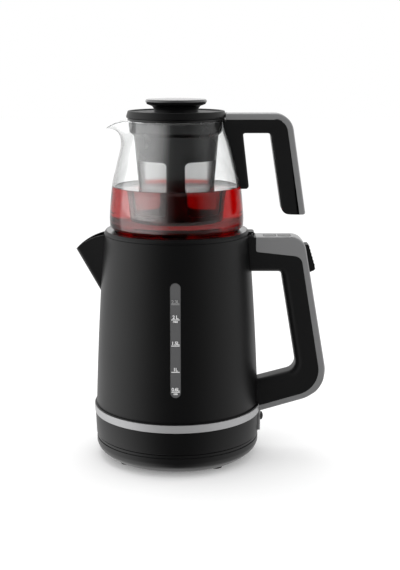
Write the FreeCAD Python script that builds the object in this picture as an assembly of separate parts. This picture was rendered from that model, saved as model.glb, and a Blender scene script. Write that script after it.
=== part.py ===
"""Automatic tea maker: a cordless kettle on a round power base, with a glass teapot on its lid.

Lengths are millimetres, +Z is up, +X points at the handles and -Y at the viewer. Every
function builds its piece about the kettle's axis, and the export moves all pieces along X,
so that the middle of the part's own box lies at X = 0.
"""
import math
import os

import FreeCAD
import Part

V = FreeCAD.Vector

# Whole part
AXIS_X = -25.0
PIN_PLAY = 0.06
GAP = 0.3
FIT = 0.1

# Skirt and what it holds
SKIRT_R = 86.5
SKIRT_TAPER = 1.0
SKIRT_BOTTOM_Z = 24.3
SKIRT_WALL = 2.4
SKIRT_ROUND = 0.8
SKIRT_LIP = 0.2
RING_Z0 = 47.6
RING_Z1 = 55.8
RING_DEPTH = 1.6
RING_PROUD_LOW = 0.5
RING_PROUD_HIGH = 1.0
RING_ROUND = 0.5
SKIRT_TOP_Z = 57.2
UNDERPLATE_Z = 25.5
UNDERPLATE_T = 2.0
REST_RING_R = 63.0
REST_RING_W = 3.0
HEATER_T = 2.0
ELEMENT_R = 4.0
ELEMENT_RING_R = 52.0
ELEMENT_OPEN_DEG = 50.0
ELEMENT_END = 12.0
THERMOSTAT_R = 18.0
THERMOSTAT_NECK_R = 9.0
THERMOSTAT_H = 10.0
SEAL_W = 2.0
SEAL_H = 2.5

# Power base
BASE_INSET = 1.3
BASE_BOTTOM_Z = 2.5
BASE_PLATE_T = 2.2
BASE_WALL = 2.2
BASE_TOE_INSET = 11.2
BASE_BELLY_Z = 14.0
BASE_BELLY_OUT = 5.6
BASE_BELLY_RISE = 4.2
BASE_GROOVE_Z = 20.2
BASE_GROOVE_H = 0.8
BASE_GROOVE_DEPTH = 1.2
BASE_DECK_Z = 21.5
BASE_LIP_Z = 23.6
BASE_LIP_INSET = 0.6
BASE_LIP_W = 2.4
FOOT_R = 6.5
FOOT_H = 3.5
FOOT_EDGE = 0.5
FEET = 4
FEET_TURN_DEG = 38.0
SCREWS = 3
SCREW_R = 1.5
SCREW_HEAD_R = 3.0
SCREW_INSET = 12.0
SCREW_GRIP = 4.4
TOWER_R = 21.0
TOWER_TOP_Z = 35.0
TOWER_FLANGE_R = 26.0
TOWER_FLANGE_T = 4.4
SLOT_IN_R = 11.6
SLOT_OUT_R = 14.6
SLOT_DEPTH = 9.5
PIN_HOLE_R = 4.2
CORD_R = 3.4
GLAND_R = 5.2
GLAND_Z = 11.2
GLAND_LENGTH = 15.0
GLAND_INSET = 0.2
GLAND_COLLAR = 1.2
GLAND_COLLAR_T = 3.0

# Coupler under the kettle
COUPLER_WALL = 1.6
COUPLER_TOP_Z = 40.0
COUPLER_BOTTOM_Z = 25.6
CONTACT_PLAY = 0.8
CONTACT_BOTTOM_Z = 27.0

# Kettle shell: how far the wall stands in from the skirt at its foot, middle and rim
SHELL_WALL = 2.0
SHELL_STEP = 1.5
SHELL_MID_IN = 4.0
SHELL_MID_Z = 142.0
SHELL_RIM_IN = 10.6
SHELL_RIM_Z = 234.6

# Spout: a V-shaped beak with a round nose, cut open at the top. Its places are
# given outward and upward from the rim.
SPOUT_LOW_RISE = -62.6
SPOUT_LOW_OUT = 3.2
SPOUT_HIGH_RISE = 7.4
SPOUT_HIGH_OUT = 42.2
SPOUT_ROOT_IN = 14.4
SPOUT_LOW_HALF = 5.0
SPOUT_HIGH_HALF = 19.0
SPOUT_LOW_NOSE_R = 3.0
SPOUT_HIGH_NOSE_R = 6.5
SPOUT_WALL = 2.0
SPOUT_TIP_RISE = -16.4
SPOUT_TIP_OUT = 29.6
SPOUT_NIB = 3.8
SPOUT_EDGE_RISE = -8.6
SPOUT_EDGE_OUT = 20.6
STRAINER_T = 1.2
STRAINER_HALF = 12.5
STRAINER_FRAME = 3.0
STRAINER_SIDE = 1.0
STRAINER_LOW_RISE = -48.6
STRAINER_HIGH_RISE = -7.6
STRAINER_SLOTS = 6
STRAINER_SLOT_W = 1.6
STRAINER_STAND = 1.4

# Water window
WINDOW_HALF = 5.2
WINDOW_Z0 = 83.5
WINDOW_Z1 = 197.7
WINDOW_SINK = 0.25
WINDOW_T = 1.6

# Kettle handle, in side view. Its places are given outward from the rim and down
# from its own top.
HANDLE_HALF = 15.0
HANDLE_DROP = 2.1
HANDLE_BACK_TOP_OUT = 55.9
HANDLE_BACK_LOW_OUT = 84.6
HANDLE_BACK_LOW_Z = 69.0
HANDLE_END_Z = 48.4
HANDLE_TOP_ROUND = 15.0
HANDLE_LOW_ROUND = 33.0
STRIP_T = 6.1
STRIP_CORNER = 1.28
STRIP_ROUND = 2.0
HOUSING_OUT = 6.8
HOUSING_LOW_DROP = 14.9
HOUSING_LOW_ROUND = 2.5
HOUSING_BACK_DROP = 20.1
HOUSING_BACK_ROUND = 9.0
HOUSING_WALL = 2.3
HOUSING_HOLLOW_OUT = 44.6
GAP_TOP_DROP = 36.4
GAP_TOP_OUT = 33.0
GAP_LOW_OUT = 50.6
GAP_LOW_Z = 94.4
GAP_END_Z = 80.9
GAP_TOP_ROUND = 3.0
GAP_LOW_ROUND = 11.0
GRIP_ROUND = 5.0
ARM_SINK = 10.0

# Keys on top of the handle
KEY_LENGTH = 12.5
KEY_HALF = 7.5
KEY_ROUND = 2.0
KEY_OUTS = (21.1, 36.1)
KEY_PROUD = 0.2
KEY_FLANGE = 1.2
KEY_FLANGE_T = 1.0
KEY_TRAVEL = 1.0
KEY_STEM_R = 2.0
BOARD_T = 1.6
KEY_BOARD_DROP = 10.0
KEY_BOARD_HALF = 10.0
KEY_BOARD_EDGE = 1.0
POST_R = 2.2
POST_INSETS = (8.0, 6.0)

# Release button at the back of the handle
LEVER_HALF = 8.0
LEVER_PIVOT_OUT = 54.0
LEVER_PIVOT_DROP = 11.5
LEVER_PIN_R = 1.5
LEVER_PIN_REACH = 3.0
LEVER_TOP_OUT = 59.2
LEVER_TOP_DROP = 8.1
LEVER_NOSE_OUT = 68.3
LEVER_NOSE_DROP = 32.9
LEVER_LOW_DROP = 37.7
LEVER_ROOM = 1.6

# Control plate and power button at the back of the skirt
PLATE_PROUD = 1.5
PLATE_HALF = 14.0
PLATE_Z0 = 27.0
PLATE_Z1 = 54.6
PLATE_T = 2.2
BUTTON_Z = 38.4
BUTTON_R = 4.4
BUTTON_PROUD = 1.4
BUTTON_DOME = 1.7
BUTTON_REST = 0.5
BUTTON_FLANGE = 1.2
BOARD_SET = 7.1
BOARD_HALF = 16.0
BOARD_TOP_Z = 52.0

# Kettle lid, measured from the rim
LID_RISE = 4.3
LID_BEVEL = 4.1
LID_EDGE_T = 0.5
LID_T = 2.5
LID_PLUG_PLAY = 1.5
LID_PLUG_WALL = 2.0
LID_PLUG_DEPTH = 7.0
LID_LINER_T = 1.5
LID_SEAL_W = 1.1
LID_SEAL_RISE = 1.9
LID_SEAL_H = 2.0
LID_SEAL_GROOVE = 0.6
VENT_R = 2.0
VENT_RING_R = 12.0
VENTS = 6
HINGE_OUT = 3.0
HINGE_RISE = 0.4
HINGE_R = 2.2
HINGE_PIN_R = 1.0
HINGE_LID_HALF = 8.7
HINGE_EAR = 4.0
HINGE_EAR_DROP = 6.0

# Teapot. The side is given as the share of the belly that stands out beyond the
# rim: the belly at heights above the foot, the neck at drops below the rim. The
# lip is given as its reach beyond the rim.
POT_WALL = 2.2
POT_R = 68.4
POT_RIM_R = 49.5
POT_RIM_H = 110.8
POT_FOOT_INSET = 4.4
POT_FOOT_W = 4.0
POT_FOOT_CUP = 1.6
POT_FLOOR_T = 2.4
POT_BELLY_SHARES = ((1.0, 4.6), (1.0, 16.8), (0.852, 45.8), (0.624, 63.8))
POT_NECK_SHARES = ((0.328, 25.0), (0.037, 8.0), (0.0, 0.0))
LIP_OUT = 20.5
LIP_DROP = 8.2
LIP_FORMS = ((-28.0, 4.5, 9.0, 6.0), (-19.0, 6.4, 11.0, 6.5), (-12.8, 8.0, 12.5, 7.0), (-9.4, 13.1, 14.0, 7.5),
             (-7.6, 24.2, 16.5, 8.0))
LIP_ROOT_IN = 11.5
LIP_WALL = 2.0

# Teapot handle, in side view, outward from the glass rim and down from it
POT_HANDLE_HALF = 12.5
POT_HANDLE_RISE = 7.2
POT_HANDLE_ROOT_OUT = 1.8
POT_HANDLE_SINK = 6.0
POT_HANDLE_BACK_OUT = 66.0
POT_HANDLE_END_OUT = 81.8
POT_HANDLE_END_DROP = 94.5
POT_HANDLE_ROUND = 19.0
POT_STRIP_T = 6.0
POT_STRIP_LEAN = 1.02
POT_ARM_DROP = 12.4
POT_GAP_NEAR_OUT = 17.7
POT_GAP_FAR_OUT = 45.3
POT_GAP_LOW_OUT = 58.2
POT_GAP_ROUND = 3.0
POT_GAP_NEAR_ROUND = 2.0
POT_STRAP_NEAR_OUT = 14.2
POT_STRAP_OUT = 24.3
POT_STRAP_DROP = 68.5
POT_GRIP_ROUND = 3.0
POT_END_ROUND = 8.0

# Infuser, measured from the glass rim down and, at its low end, from the pot's foot up
COLLAR_PLAY = 0.6
COLLAR_TAPER = 0.7
COLLAR_LOW_DROP = 11.5
FLANGE_INSET = 0.3
FLANGE_T = 2.2
BASKET_STEP = 3.2
BASKET_TOP_DROP = 16.0
BASKET_TAPER = 7.4
BASKET_LOW_RISE = 8.8
BASKET_WALL = 1.8
BASKET_SHOULDER_ROUND = 2.0
BASKET_HEEL_ROUND = 1.2
BASKET_FLOOR_T = 1.6
BASKET_FLOOR_W = 9.0
BASKET_WINDOWS = 4
BASKET_TURN_DEG = 49.0
BASKET_WINDOW_TOP_DROP = 39.5
BASKET_WINDOW_LOW_RISE = 16.8
BASKET_WINDOW_TOP_HALF = 23.0
BASKET_WINDOW_LOW_HALF = 18.5
BASKET_WINDOW_ROUND = 5.0
MESH_T = 0.5
MESH_LAP = 6.0

# Teapot lid, measured from the glass rim
POT_LID_OVER = 0.9
POT_LID_TAPER = 1.2
POT_LID_SKIRT = 1.2
POT_LID_TOP_RISE = 9.5
POT_LID_DECK_RISE = 8.3
POT_LID_DISH_IN = 4.0
POT_LID_T = 2.4
SPIGOT_PLAY = 0.6
SPIGOT_WALL = 1.8
SPIGOT_DROP = 4.4
GASKET_W = 1.7
GASKET_H = 3.0
GASKET_DROP = 3.2
KNOB_R = 31.2
KNOB_NECK_IN = 8.9
KNOB_FLARE_IN = 6.8
KNOB_EDGE_IN = 1.4
KNOB_FLARE_RISE = 14.6
KNOB_FLARE_H = 3.4
KNOB_SPLIT_RISE = 18.6
KNOB_TOP_RISE = 21.2
KNOB_CROWN = 1.0
KNOB_WALL = 2.0

# Places that follow from the sizes above: base, coupler and skirt
BASE_R = SKIRT_R - BASE_INSET
BASE_TOE_R = BASE_R - BASE_TOE_INSET
BASE_LIP_R = BASE_R - BASE_LIP_INSET
FOOT_RING_R = BASE_TOE_R - BASE_WALL - FOOT_EDGE - FOOT_R
SCREW_RING_R = FOOT_RING_R - SCREW_INSET
ANNULUS_IN_R = SLOT_IN_R + CONTACT_PLAY
ANNULUS_OUT_R = SLOT_OUT_R - CONTACT_PLAY
CUP_IN_R = TOWER_R + CONTACT_PLAY
CUP_OUT_R = CUP_IN_R + COUPLER_WALL
SKIRT_BOTTOM_R = SKIRT_R - SKIRT_TAPER
SKIRT_IN_R = SKIRT_BOTTOM_R - SKIRT_WALL
RING_GROOVE_R = SKIRT_R - RING_DEPTH
PLATE_TOP_Z = UNDERPLATE_Z + UNDERPLATE_T
HEATER_Z0 = SKIRT_TOP_Z
HEATER_Z1 = HEATER_Z0 + HEATER_T
PLATE_R = SKIRT_R + PLATE_PROUD
BUTTON_FACE_X = PLATE_R + BUTTON_PROUD
BUTTON_BACK_X = SKIRT_IN_R - BUTTON_REST
BOARD_X = SKIRT_IN_R - BOARD_SET

# Kettle shell, spout, handle and lid
SHELL_FOOT_R = SKIRT_R - SHELL_STEP
SHELL_MID_R = SHELL_FOOT_R - SHELL_MID_IN
SHELL_RIM_R = SHELL_FOOT_R - SHELL_RIM_IN
SHELL_FOOT_Z = SKIRT_TOP_Z
SPOUT_LOW = (SHELL_RIM_Z + SPOUT_LOW_RISE, -SHELL_RIM_R - SPOUT_LOW_OUT, SPOUT_LOW_HALF, SPOUT_LOW_NOSE_R)
SPOUT_HIGH = (SHELL_RIM_Z + SPOUT_HIGH_RISE, -SHELL_RIM_R - SPOUT_HIGH_OUT, SPOUT_HIGH_HALF, SPOUT_HIGH_NOSE_R)
SPOUT_ROOT_X = SPOUT_ROOT_IN - SHELL_RIM_R
HANDLE_TOP_Z = SHELL_RIM_Z - HANDLE_DROP
HANDLE_BACK_TOP_X = SHELL_RIM_R + HANDLE_BACK_TOP_OUT
HANDLE_BACK_LOW_X = SHELL_RIM_R + HANDLE_BACK_LOW_OUT
HANDLE_END_X = PLATE_R + GAP
HOUSING_X = SHELL_RIM_R + HOUSING_OUT
HOUSING_LOW_Z = HANDLE_TOP_Z - HOUSING_LOW_DROP
HOUSING_BACK_Z = HANDLE_TOP_Z - HOUSING_BACK_DROP
HOUSING_HOLLOW_X = SHELL_RIM_R + HOUSING_HOLLOW_OUT
GAP_TOP_Z = HANDLE_TOP_Z - GAP_TOP_DROP
GAP_TOP_X = SHELL_RIM_R + GAP_TOP_OUT
GAP_LOW_X = SHELL_RIM_R + GAP_LOW_OUT
KEY_X = tuple(SHELL_RIM_R + out for out in KEY_OUTS)
KEY_BOARD_Z = HANDLE_TOP_Z - KEY_BOARD_DROP
LEVER_PIVOT_X = SHELL_RIM_R + LEVER_PIVOT_OUT
LEVER_PIVOT_Z = HANDLE_TOP_Z - LEVER_PIVOT_DROP
LEVER_TOP_X = SHELL_RIM_R + LEVER_TOP_OUT
LEVER_TOP_Z = HANDLE_TOP_Z - LEVER_TOP_DROP
LEVER_NOSE_X = SHELL_RIM_R + LEVER_NOSE_OUT
LEVER_NOSE_Z = HANDLE_TOP_Z - LEVER_NOSE_DROP
LEVER_LOW_Z = HANDLE_TOP_Z - LEVER_LOW_DROP
LID_DECK_Z = SHELL_RIM_Z + LID_RISE
LID_DECK_R = SHELL_RIM_R - LID_BEVEL
LID_PLUG_R = SHELL_RIM_R - SHELL_WALL - LID_PLUG_PLAY
LID_PLUG_Z = SHELL_RIM_Z - LID_PLUG_DEPTH
LID_SEAL_Z = LID_PLUG_Z + LID_SEAL_RISE
LID_EDGE_Z = SHELL_RIM_Z + GAP
HINGE_X = SHELL_RIM_R + HINGE_OUT
HINGE_Z = SHELL_RIM_Z + HINGE_RISE

# Teapot, its handle, the infuser and the lid
POT_BOTTOM_Z = LID_DECK_Z + GAP
POT_RIM_Z = POT_BOTTOM_Z + POT_RIM_H
POT_FOOT_R = POT_R - POT_FOOT_INSET
POT_BELLY_OUT = POT_R - POT_RIM_R
POT_SIDE = (tuple((POT_RIM_R + POT_BELLY_OUT * share, POT_BOTTOM_Z + rise) for share, rise in POT_BELLY_SHARES)
            + tuple((POT_RIM_R + POT_BELLY_OUT * share, POT_RIM_Z - drop) for share, drop in POT_NECK_SHARES))
POT_HANDLE_X0 = POT_RIM_R + POT_HANDLE_ROOT_OUT
POT_HANDLE_TOP_Z = POT_RIM_Z + POT_HANDLE_RISE
POT_HANDLE_BACK_X = POT_RIM_R + POT_HANDLE_BACK_OUT
POT_HANDLE_END_X = POT_RIM_R + POT_HANDLE_END_OUT
POT_HANDLE_END_Z = POT_RIM_Z - POT_HANDLE_END_DROP
POT_ARM_Z = POT_RIM_Z - POT_ARM_DROP
POT_STRAP_X = POT_RIM_R + POT_STRAP_OUT
POT_STRAP_Z = POT_RIM_Z - POT_STRAP_DROP
COLLAR_R = POT_RIM_R - POT_WALL - COLLAR_PLAY
COLLAR_LOW_R = COLLAR_R - COLLAR_TAPER
COLLAR_LOW_Z = POT_RIM_Z - COLLAR_LOW_DROP
FLANGE_R = POT_RIM_R - FLANGE_INSET
FLANGE_Z = POT_RIM_Z + GAP
BASKET_TOP_R = COLLAR_LOW_R - BASKET_STEP
BASKET_TOP_Z = POT_RIM_Z - BASKET_TOP_DROP
BASKET_LOW_R = BASKET_TOP_R - BASKET_TAPER
BASKET_LOW_Z = POT_BOTTOM_Z + BASKET_LOW_RISE
BASKET_WINDOW_TOP_Z = POT_RIM_Z - BASKET_WINDOW_TOP_DROP
BASKET_WINDOW_LOW_Z = POT_BOTTOM_Z + BASKET_WINDOW_LOW_RISE
POT_LID_Z = FLANGE_Z + FLANGE_T + GAP
POT_LID_R = POT_RIM_R + POT_LID_OVER
POT_LID_TOP_Z = POT_RIM_Z + POT_LID_TOP_RISE
POT_LID_DECK_Z = POT_RIM_Z + POT_LID_DECK_RISE
SPIGOT_R = COLLAR_R - BASKET_WALL - GASKET_W - SPIGOT_PLAY
SPIGOT_Z = POT_RIM_Z - SPIGOT_DROP
GASKET_Z = POT_RIM_Z - GASKET_DROP
KNOB_NECK_R = KNOB_R - KNOB_NECK_IN
KNOB_FLARE_R = KNOB_R - KNOB_FLARE_IN
KNOB_FLARE_Z = POT_RIM_Z + KNOB_FLARE_RISE
KNOB_SPLIT_Z = POT_RIM_Z + KNOB_SPLIT_RISE
KNOB_TOP_Z = POT_RIM_Z + KNOB_TOP_RISE


def spot(step):
    """The point that a step of an outline ends at."""
    pair = step[-2:] if len(step) == 4 else step[:2]
    return V(pair[0], 0, pair[1])


def outline(steps):
    """A closed wire in the XZ plane.

    A step is a corner (x, z), a rounded corner (x, z, radius), or an arc (x, z, x, z)
    through its first point to its second. The first step is a plain corner.
    """
    last = spot(steps[0])
    edges = []
    for index, step in enumerate(steps[1:], 1):
        corner = spot(step)
        if len(step) == 4:
            edges.append(Part.Arc(last, V(step[0], 0, step[1]), corner).toShape())
            last = corner
            continue
        if len(step) == 2:
            edges.append(Part.LineSegment(last, corner).toShape())
            last = corner
            continue
        back = (spot(steps[index - 1]) - corner).normalize()
        ahead = (spot(steps[(index + 1) % len(steps)]) - corner).normalize()
        half = back.getAngle(ahead) / 2
        start = corner + back * (step[2] / math.tan(half))
        end = corner + ahead * (step[2] / math.tan(half))
        inward = (back + ahead).normalize()
        middle = corner + inward * (step[2] / math.sin(half) - step[2])
        edges.append(Part.LineSegment(last, start).toShape())
        edges.append(Part.Arc(start, middle, end).toShape())
        last = end
    if last.distanceToPoint(spot(steps[0])) > 1e-6:
        edges.append(Part.LineSegment(last, spot(steps[0])).toShape())
    return Part.Wire(edges)


def dome(x, z, top):
    """An arc step from (x, z) to the axis at the top, on a circle centred on the axis."""
    rise = top - z
    radius = (x * x + rise * rise) / (2 * rise)
    middle_x = x / 2
    middle_z = top - radius + math.sqrt(radius * radius - middle_x * middle_x)
    return (middle_x, middle_z, 0, top)


def slab(steps, half, low=None):
    """An outline given thickness along Y, from -half to half or from low to half."""
    start = -half if low is None else low
    face = Part.Face(outline(steps))
    face.translate(V(0, start, 0))
    return face.extrude(V(0, half - start, 0))


def lathe(steps):
    """An outline on the +X side, turned once about the kettle's axis."""
    return Part.Face(outline(steps)).revolve(V(0, 0, 0), V(0, 0, 1), 360)


def disc(radius, z0, z1, x=0.0, y=0.0):
    return Part.makeCylinder(radius, z1 - z0, V(x, y, z0))


def ring(outer, inner, z0, z1):
    return disc(outer, z0, z1).cut(disc(inner, z0, z1))


def rod_y(x, z, radius, y0, y1):
    return Part.makeCylinder(radius, y1 - y0, V(x, y0, z), V(0, 1, 0))


def rod_x(x0, x1, z, radius):
    return Part.makeCylinder(radius, x1 - x0, V(x0, 0, z), V(1, 0, 0))


def block(x0, x1, y0, y1, z0, z1):
    return Part.makeBox(x1 - x0, y1 - y0, z1 - z0, V(x0, y0, z0))


def around(shape, count, start=0.0):
    """Copies of a shape, evenly spaced about the kettle's axis."""
    copies = []
    for index in range(count):
        copy = shape.copy()
        copy.rotate(V(0, 0, 0), V(0, 0, 1), start + 360.0 * index / count)
        copies.append(copy)
    return copies


def round_edges(shape, radius, chosen):
    """The shape with a fillet on each edge whose middle the test picks."""
    edges = []
    for edge in shape.Edges:
        middle = edge.valueAt((edge.FirstParameter + edge.LastParameter) / 2)
        ends_flat = abs(edge.Vertexes[0].Y - edge.Vertexes[-1].Y) < 0.01
        if ends_flat and chosen(middle):
            edges.append(edge)
    return shape.makeFillet(radius, edges)


# Power base

def base_feet():
    foot = disc(FOOT_R, 0, FOOT_H, FOOT_RING_R)
    return Part.makeCompound(around(foot, FEET, FEET_TURN_DEG))


def base_screws():
    """Three screws that hold the underplate to bosses inside the dish."""
    head = disc(SCREW_HEAD_R, BASE_BOTTOM_Z, BASE_BOTTOM_Z + BASE_PLATE_T / 2, SCREW_RING_R)
    shank = disc(SCREW_R, BASE_BOTTOM_Z, BASE_BOTTOM_Z + BASE_PLATE_T + SCREW_GRIP, SCREW_RING_R)
    return Part.makeCompound(around(head.fuse(shank).removeSplitter(), SCREWS))


def base_underplate():
    """The closing plate, with a pocket for each foot and a counterbore for each screw."""
    top = BASE_BOTTOM_Z + BASE_PLATE_T
    plate = disc(BASE_TOE_R - BASE_WALL - FIT, BASE_BOTTOM_Z, top)
    pockets = around(disc(FOOT_R + FIT, BASE_BOTTOM_Z, FOOT_H, FOOT_RING_R), FEET, FEET_TURN_DEG)
    heads = disc(SCREW_HEAD_R + FIT, BASE_BOTTOM_Z, BASE_BOTTOM_Z + BASE_PLATE_T / 2, SCREW_RING_R)
    holes = disc(SCREW_R + FIT, BASE_BOTTOM_Z, top, SCREW_RING_R)
    return plate.cut(pockets + around(heads, SCREWS) + around(holes, SCREWS))


def base_shell():
    """The dish: a moulded shell with a groove under its lip and screw bosses inside."""
    toe = BASE_TOE_R
    wall = BASE_WALL
    belly = toe + BASE_BELLY_OUT
    belly_z = BASE_BOTTOM_Z + BASE_BELLY_RISE
    groove_r = BASE_R - BASE_GROOVE_DEPTH
    groove_top = BASE_GROOVE_Z + BASE_GROOVE_H
    lip_in_r = BASE_LIP_R - BASE_LIP_W
    boss_z0 = BASE_BOTTOM_Z + BASE_PLATE_T + FIT
    steps = [
        (toe - wall, BASE_BOTTOM_Z), (toe, BASE_BOTTOM_Z), (belly, belly_z, BASE_R, BASE_BELLY_Z),
        (BASE_R, BASE_GROOVE_Z), (groove_r, BASE_GROOVE_Z), (groove_r, groove_top),
        (BASE_LIP_R, groove_top), (BASE_LIP_R, BASE_LIP_Z, BASE_LIP_INSET),
        (lip_in_r, BASE_LIP_Z), (lip_in_r - wall, BASE_DECK_Z), (TOWER_R + FIT, BASE_DECK_Z),
        (TOWER_R + FIT, BASE_DECK_Z - wall), (BASE_R - wall, BASE_DECK_Z - wall), (BASE_R - wall, BASE_BELLY_Z),
        (belly - wall, belly_z + wall / 2, toe - wall, boss_z0),
    ]
    shell = lathe(steps)
    boss = disc(SCREW_HEAD_R, boss_z0, BASE_DECK_Z - wall / 2, SCREW_RING_R)
    bore = disc(SCREW_R, boss_z0, BASE_BOTTOM_Z + BASE_PLATE_T + SCREW_GRIP, SCREW_RING_R)
    gland_hole = rod_back(GLAND_R, BASE_R / 2, BASE_R * 1.5)
    collar_room = rod_back(GLAND_R + GLAND_COLLAR, BASE_R / 2, collar_end())
    return shell.fuse(around(boss, SCREWS)).cut(around(bore, SCREWS) + [gland_hole, collar_room]).removeSplitter()


def rod_back(radius, y0, y1):
    """A round bar along Y at the height of the cord gland."""
    return Part.makeCylinder(radius, y1 - y0, V(0, y0, GLAND_Z), V(0, 1, 0))


def collar_end():
    """Where the gland's collar ends, inside the dish."""
    return BASE_R - GLAND_INSET - GLAND_LENGTH + GLAND_COLLAR_T


def base_socket():
    """The round connector tower, with a pin hole and a ring slot for the kettle's contacts."""
    under = BASE_DECK_Z - BASE_WALL
    tower = disc(TOWER_R, under, TOWER_TOP_Z).fuse(disc(TOWER_FLANGE_R, under - TOWER_FLANGE_T, under))
    slot = ring(SLOT_OUT_R, SLOT_IN_R, TOWER_TOP_Z - SLOT_DEPTH, TOWER_TOP_Z)
    hole = disc(PIN_HOLE_R, TOWER_TOP_Z - SLOT_DEPTH, TOWER_TOP_Z)
    return tower.cut([slot, hole]).removeSplitter()


def cord_gland():
    """The sleeve in the back of the dish that the mains lead would leave by."""
    out_y = BASE_R - GLAND_INSET
    in_y = out_y - GLAND_LENGTH
    sleeve = rod_back(GLAND_R, in_y, out_y).fuse(rod_back(GLAND_R + GLAND_COLLAR, in_y, collar_end()))
    return sleeve.cut(rod_back(CORD_R, in_y, out_y)).removeSplitter()


# Coupler

def kettle_coupler():
    """A cup with a centre pin and a contact ring that drop over the base's tower."""
    roof = COUPLER_TOP_Z - COUPLER_WALL
    cup = ring(CUP_OUT_R, CUP_IN_R, COUPLER_BOTTOM_Z, COUPLER_TOP_Z)
    top = disc(CUP_OUT_R, roof, COUPLER_TOP_Z)
    contact = ring(ANNULUS_OUT_R, ANNULUS_IN_R, CONTACT_BOTTOM_Z, roof + COUPLER_WALL / 2)
    pin = disc(PIN_HOLE_R - CONTACT_PLAY, CONTACT_BOTTOM_Z, roof + COUPLER_WALL / 2)
    return cup.fuse([top, contact, pin]).removeSplitter()


# Skirt and heater

def plate_cutter(slack):
    """The space that the control plate takes out of the skirt and the trim ring."""
    half = PLATE_HALF + slack
    inner = PLATE_R - PLATE_T - slack
    column = ring(BUTTON_FACE_X, inner, PLATE_Z0 - slack, PLATE_Z1 + slack)
    return column.common(block(0, BUTTON_FACE_X, -half, half, PLATE_Z0 - slack, PLATE_Z1 + slack))


def skirt():
    """The moulded foot of the kettle, with a groove for the trim ring and a lip above it."""
    lip_r = SKIRT_R + SKIRT_LIP
    steps = [
        (SKIRT_IN_R, SKIRT_BOTTOM_Z), (SKIRT_BOTTOM_R, SKIRT_BOTTOM_Z, SKIRT_ROUND), (SKIRT_R, RING_Z0),
        (RING_GROOVE_R, RING_Z0), (RING_GROOVE_R, RING_Z1), (lip_r, RING_Z1),
        (lip_r, SKIRT_TOP_Z, RING_ROUND), (SKIRT_IN_R, SKIRT_TOP_Z),
    ]
    hole = rod_x(BOARD_X, BUTTON_FACE_X, BUTTON_Z, BUTTON_R + GAP)
    return lathe(steps).cut([plate_cutter(FIT), hole])


def trim_ring():
    inner = RING_GROOVE_R + FIT
    steps = [
        (inner, RING_Z0), (SKIRT_R + RING_PROUD_LOW, RING_Z0, RING_ROUND),
        (SKIRT_R + RING_PROUD_HIGH, RING_Z1, RING_ROUND), (inner, RING_Z1),
    ]
    return lathe(steps).cut(plate_cutter(FIT * 2))


def kettle_underplate():
    """The bottom plate, with a hole for the coupler and the ring that rests on the base."""
    plate = ring(SKIRT_IN_R - FIT, CUP_OUT_R + GAP, UNDERPLATE_Z, PLATE_TOP_Z)
    rest = ring(REST_RING_R, REST_RING_R - REST_RING_W, BASE_DECK_Z + GAP, UNDERPLATE_Z)
    return plate.fuse(rest).removeSplitter()


def shell_radius(z):
    """The kettle's outer radius at a height, on the arc through its foot, middle and rim."""
    foot = V(SHELL_FOOT_R, 0, SHELL_FOOT_Z)
    side = Part.Arc(foot, V(SHELL_MID_R, 0, SHELL_MID_Z), V(SHELL_RIM_R, 0, SHELL_RIM_Z)).toShape().Curve
    drop = z - side.Center.z
    return side.Center.x + math.sqrt(side.Radius ** 2 - drop ** 2)


def heater_plate():
    return disc(shell_radius(HEATER_Z1) - SHELL_WALL - FIT, HEATER_Z0, HEATER_Z1)


def heating_element():
    """An open loop of sheathed tube clamped under the heater plate, with two cold ends."""
    z = HEATER_Z0 - ELEMENT_R - FIT / 2
    centre = V(0, 0, z)
    first = math.radians(ELEMENT_OPEN_DEG / 2)
    start = V(ELEMENT_RING_R * math.cos(first), ELEMENT_RING_R * math.sin(first), z)
    end = V(start.x, -start.y, z)
    path = Part.Wire([Part.Arc(start, V(-ELEMENT_RING_R, 0, z), end).toShape()])
    section = Part.Wire([Part.Circle(start, V(-math.sin(first), math.cos(first), 0), ELEMENT_R).toShape()])
    loop = path.makePipeShell([section], True, True)
    posts = []
    for point in (start, end):
        posts.append(Part.makeCylinder(ELEMENT_R / 2, ELEMENT_END, point - V(0, 0, ELEMENT_END)))
    knuckles = [Part.makeSphere(ELEMENT_R, point) for point in (start, end)]
    return loop.fuse(posts + knuckles).removeSplitter()


def thermostat():
    neck_z = COUPLER_TOP_Z + GAP + THERMOSTAT_H
    drum = disc(THERMOSTAT_R, COUPLER_TOP_Z + GAP, neck_z)
    return drum.fuse(disc(THERMOSTAT_NECK_R, neck_z, HEATER_Z0)).removeSplitter()


def heater_seal():
    outer = shell_radius(HEATER_Z1 + SEAL_H) - SHELL_WALL - FIT
    return ring(outer, outer - SEAL_W, HEATER_Z1, HEATER_Z1 + SEAL_H)


# Kettle shell with its spout

def shell_solid(inset, z0, z1):
    """A barrel with the kettle's curved side, moved in by an inset."""
    steps = [
        (0, z0), (SHELL_FOOT_R - inset, z0),
        (SHELL_MID_R - inset, SHELL_MID_Z, SHELL_RIM_R - inset, z1), (0, z1),
    ]
    return lathe(steps)


def beak_section(form, root_x, wall):
    """A V with a round nose in the plane at a height, moved in by a wall's thickness."""
    z, nose_x, half, nose_r = form
    nose_x = nose_x + wall
    half = half - wall
    nose_r = nose_r - wall / 2
    centre_x = nose_x + nose_r
    reach = math.hypot(root_x - centre_x, half)
    angle = math.atan2(half, root_x - centre_x) + math.acos(nose_r / reach)
    side = V(centre_x + nose_r * math.cos(angle), nose_r * math.sin(angle), z)
    root = V(root_x, half, z)
    edges = [
        Part.LineSegment(root, side).toShape(),
        Part.Arc(side, V(nose_x, 0, z), V(side.x, -side.y, z)).toShape(),
        Part.LineSegment(V(side.x, -side.y, z), V(root_x, -half, z)).toShape(),
        Part.LineSegment(V(root_x, -half, z), root).toShape(),
    ]
    return Part.Wire(edges)


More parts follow.
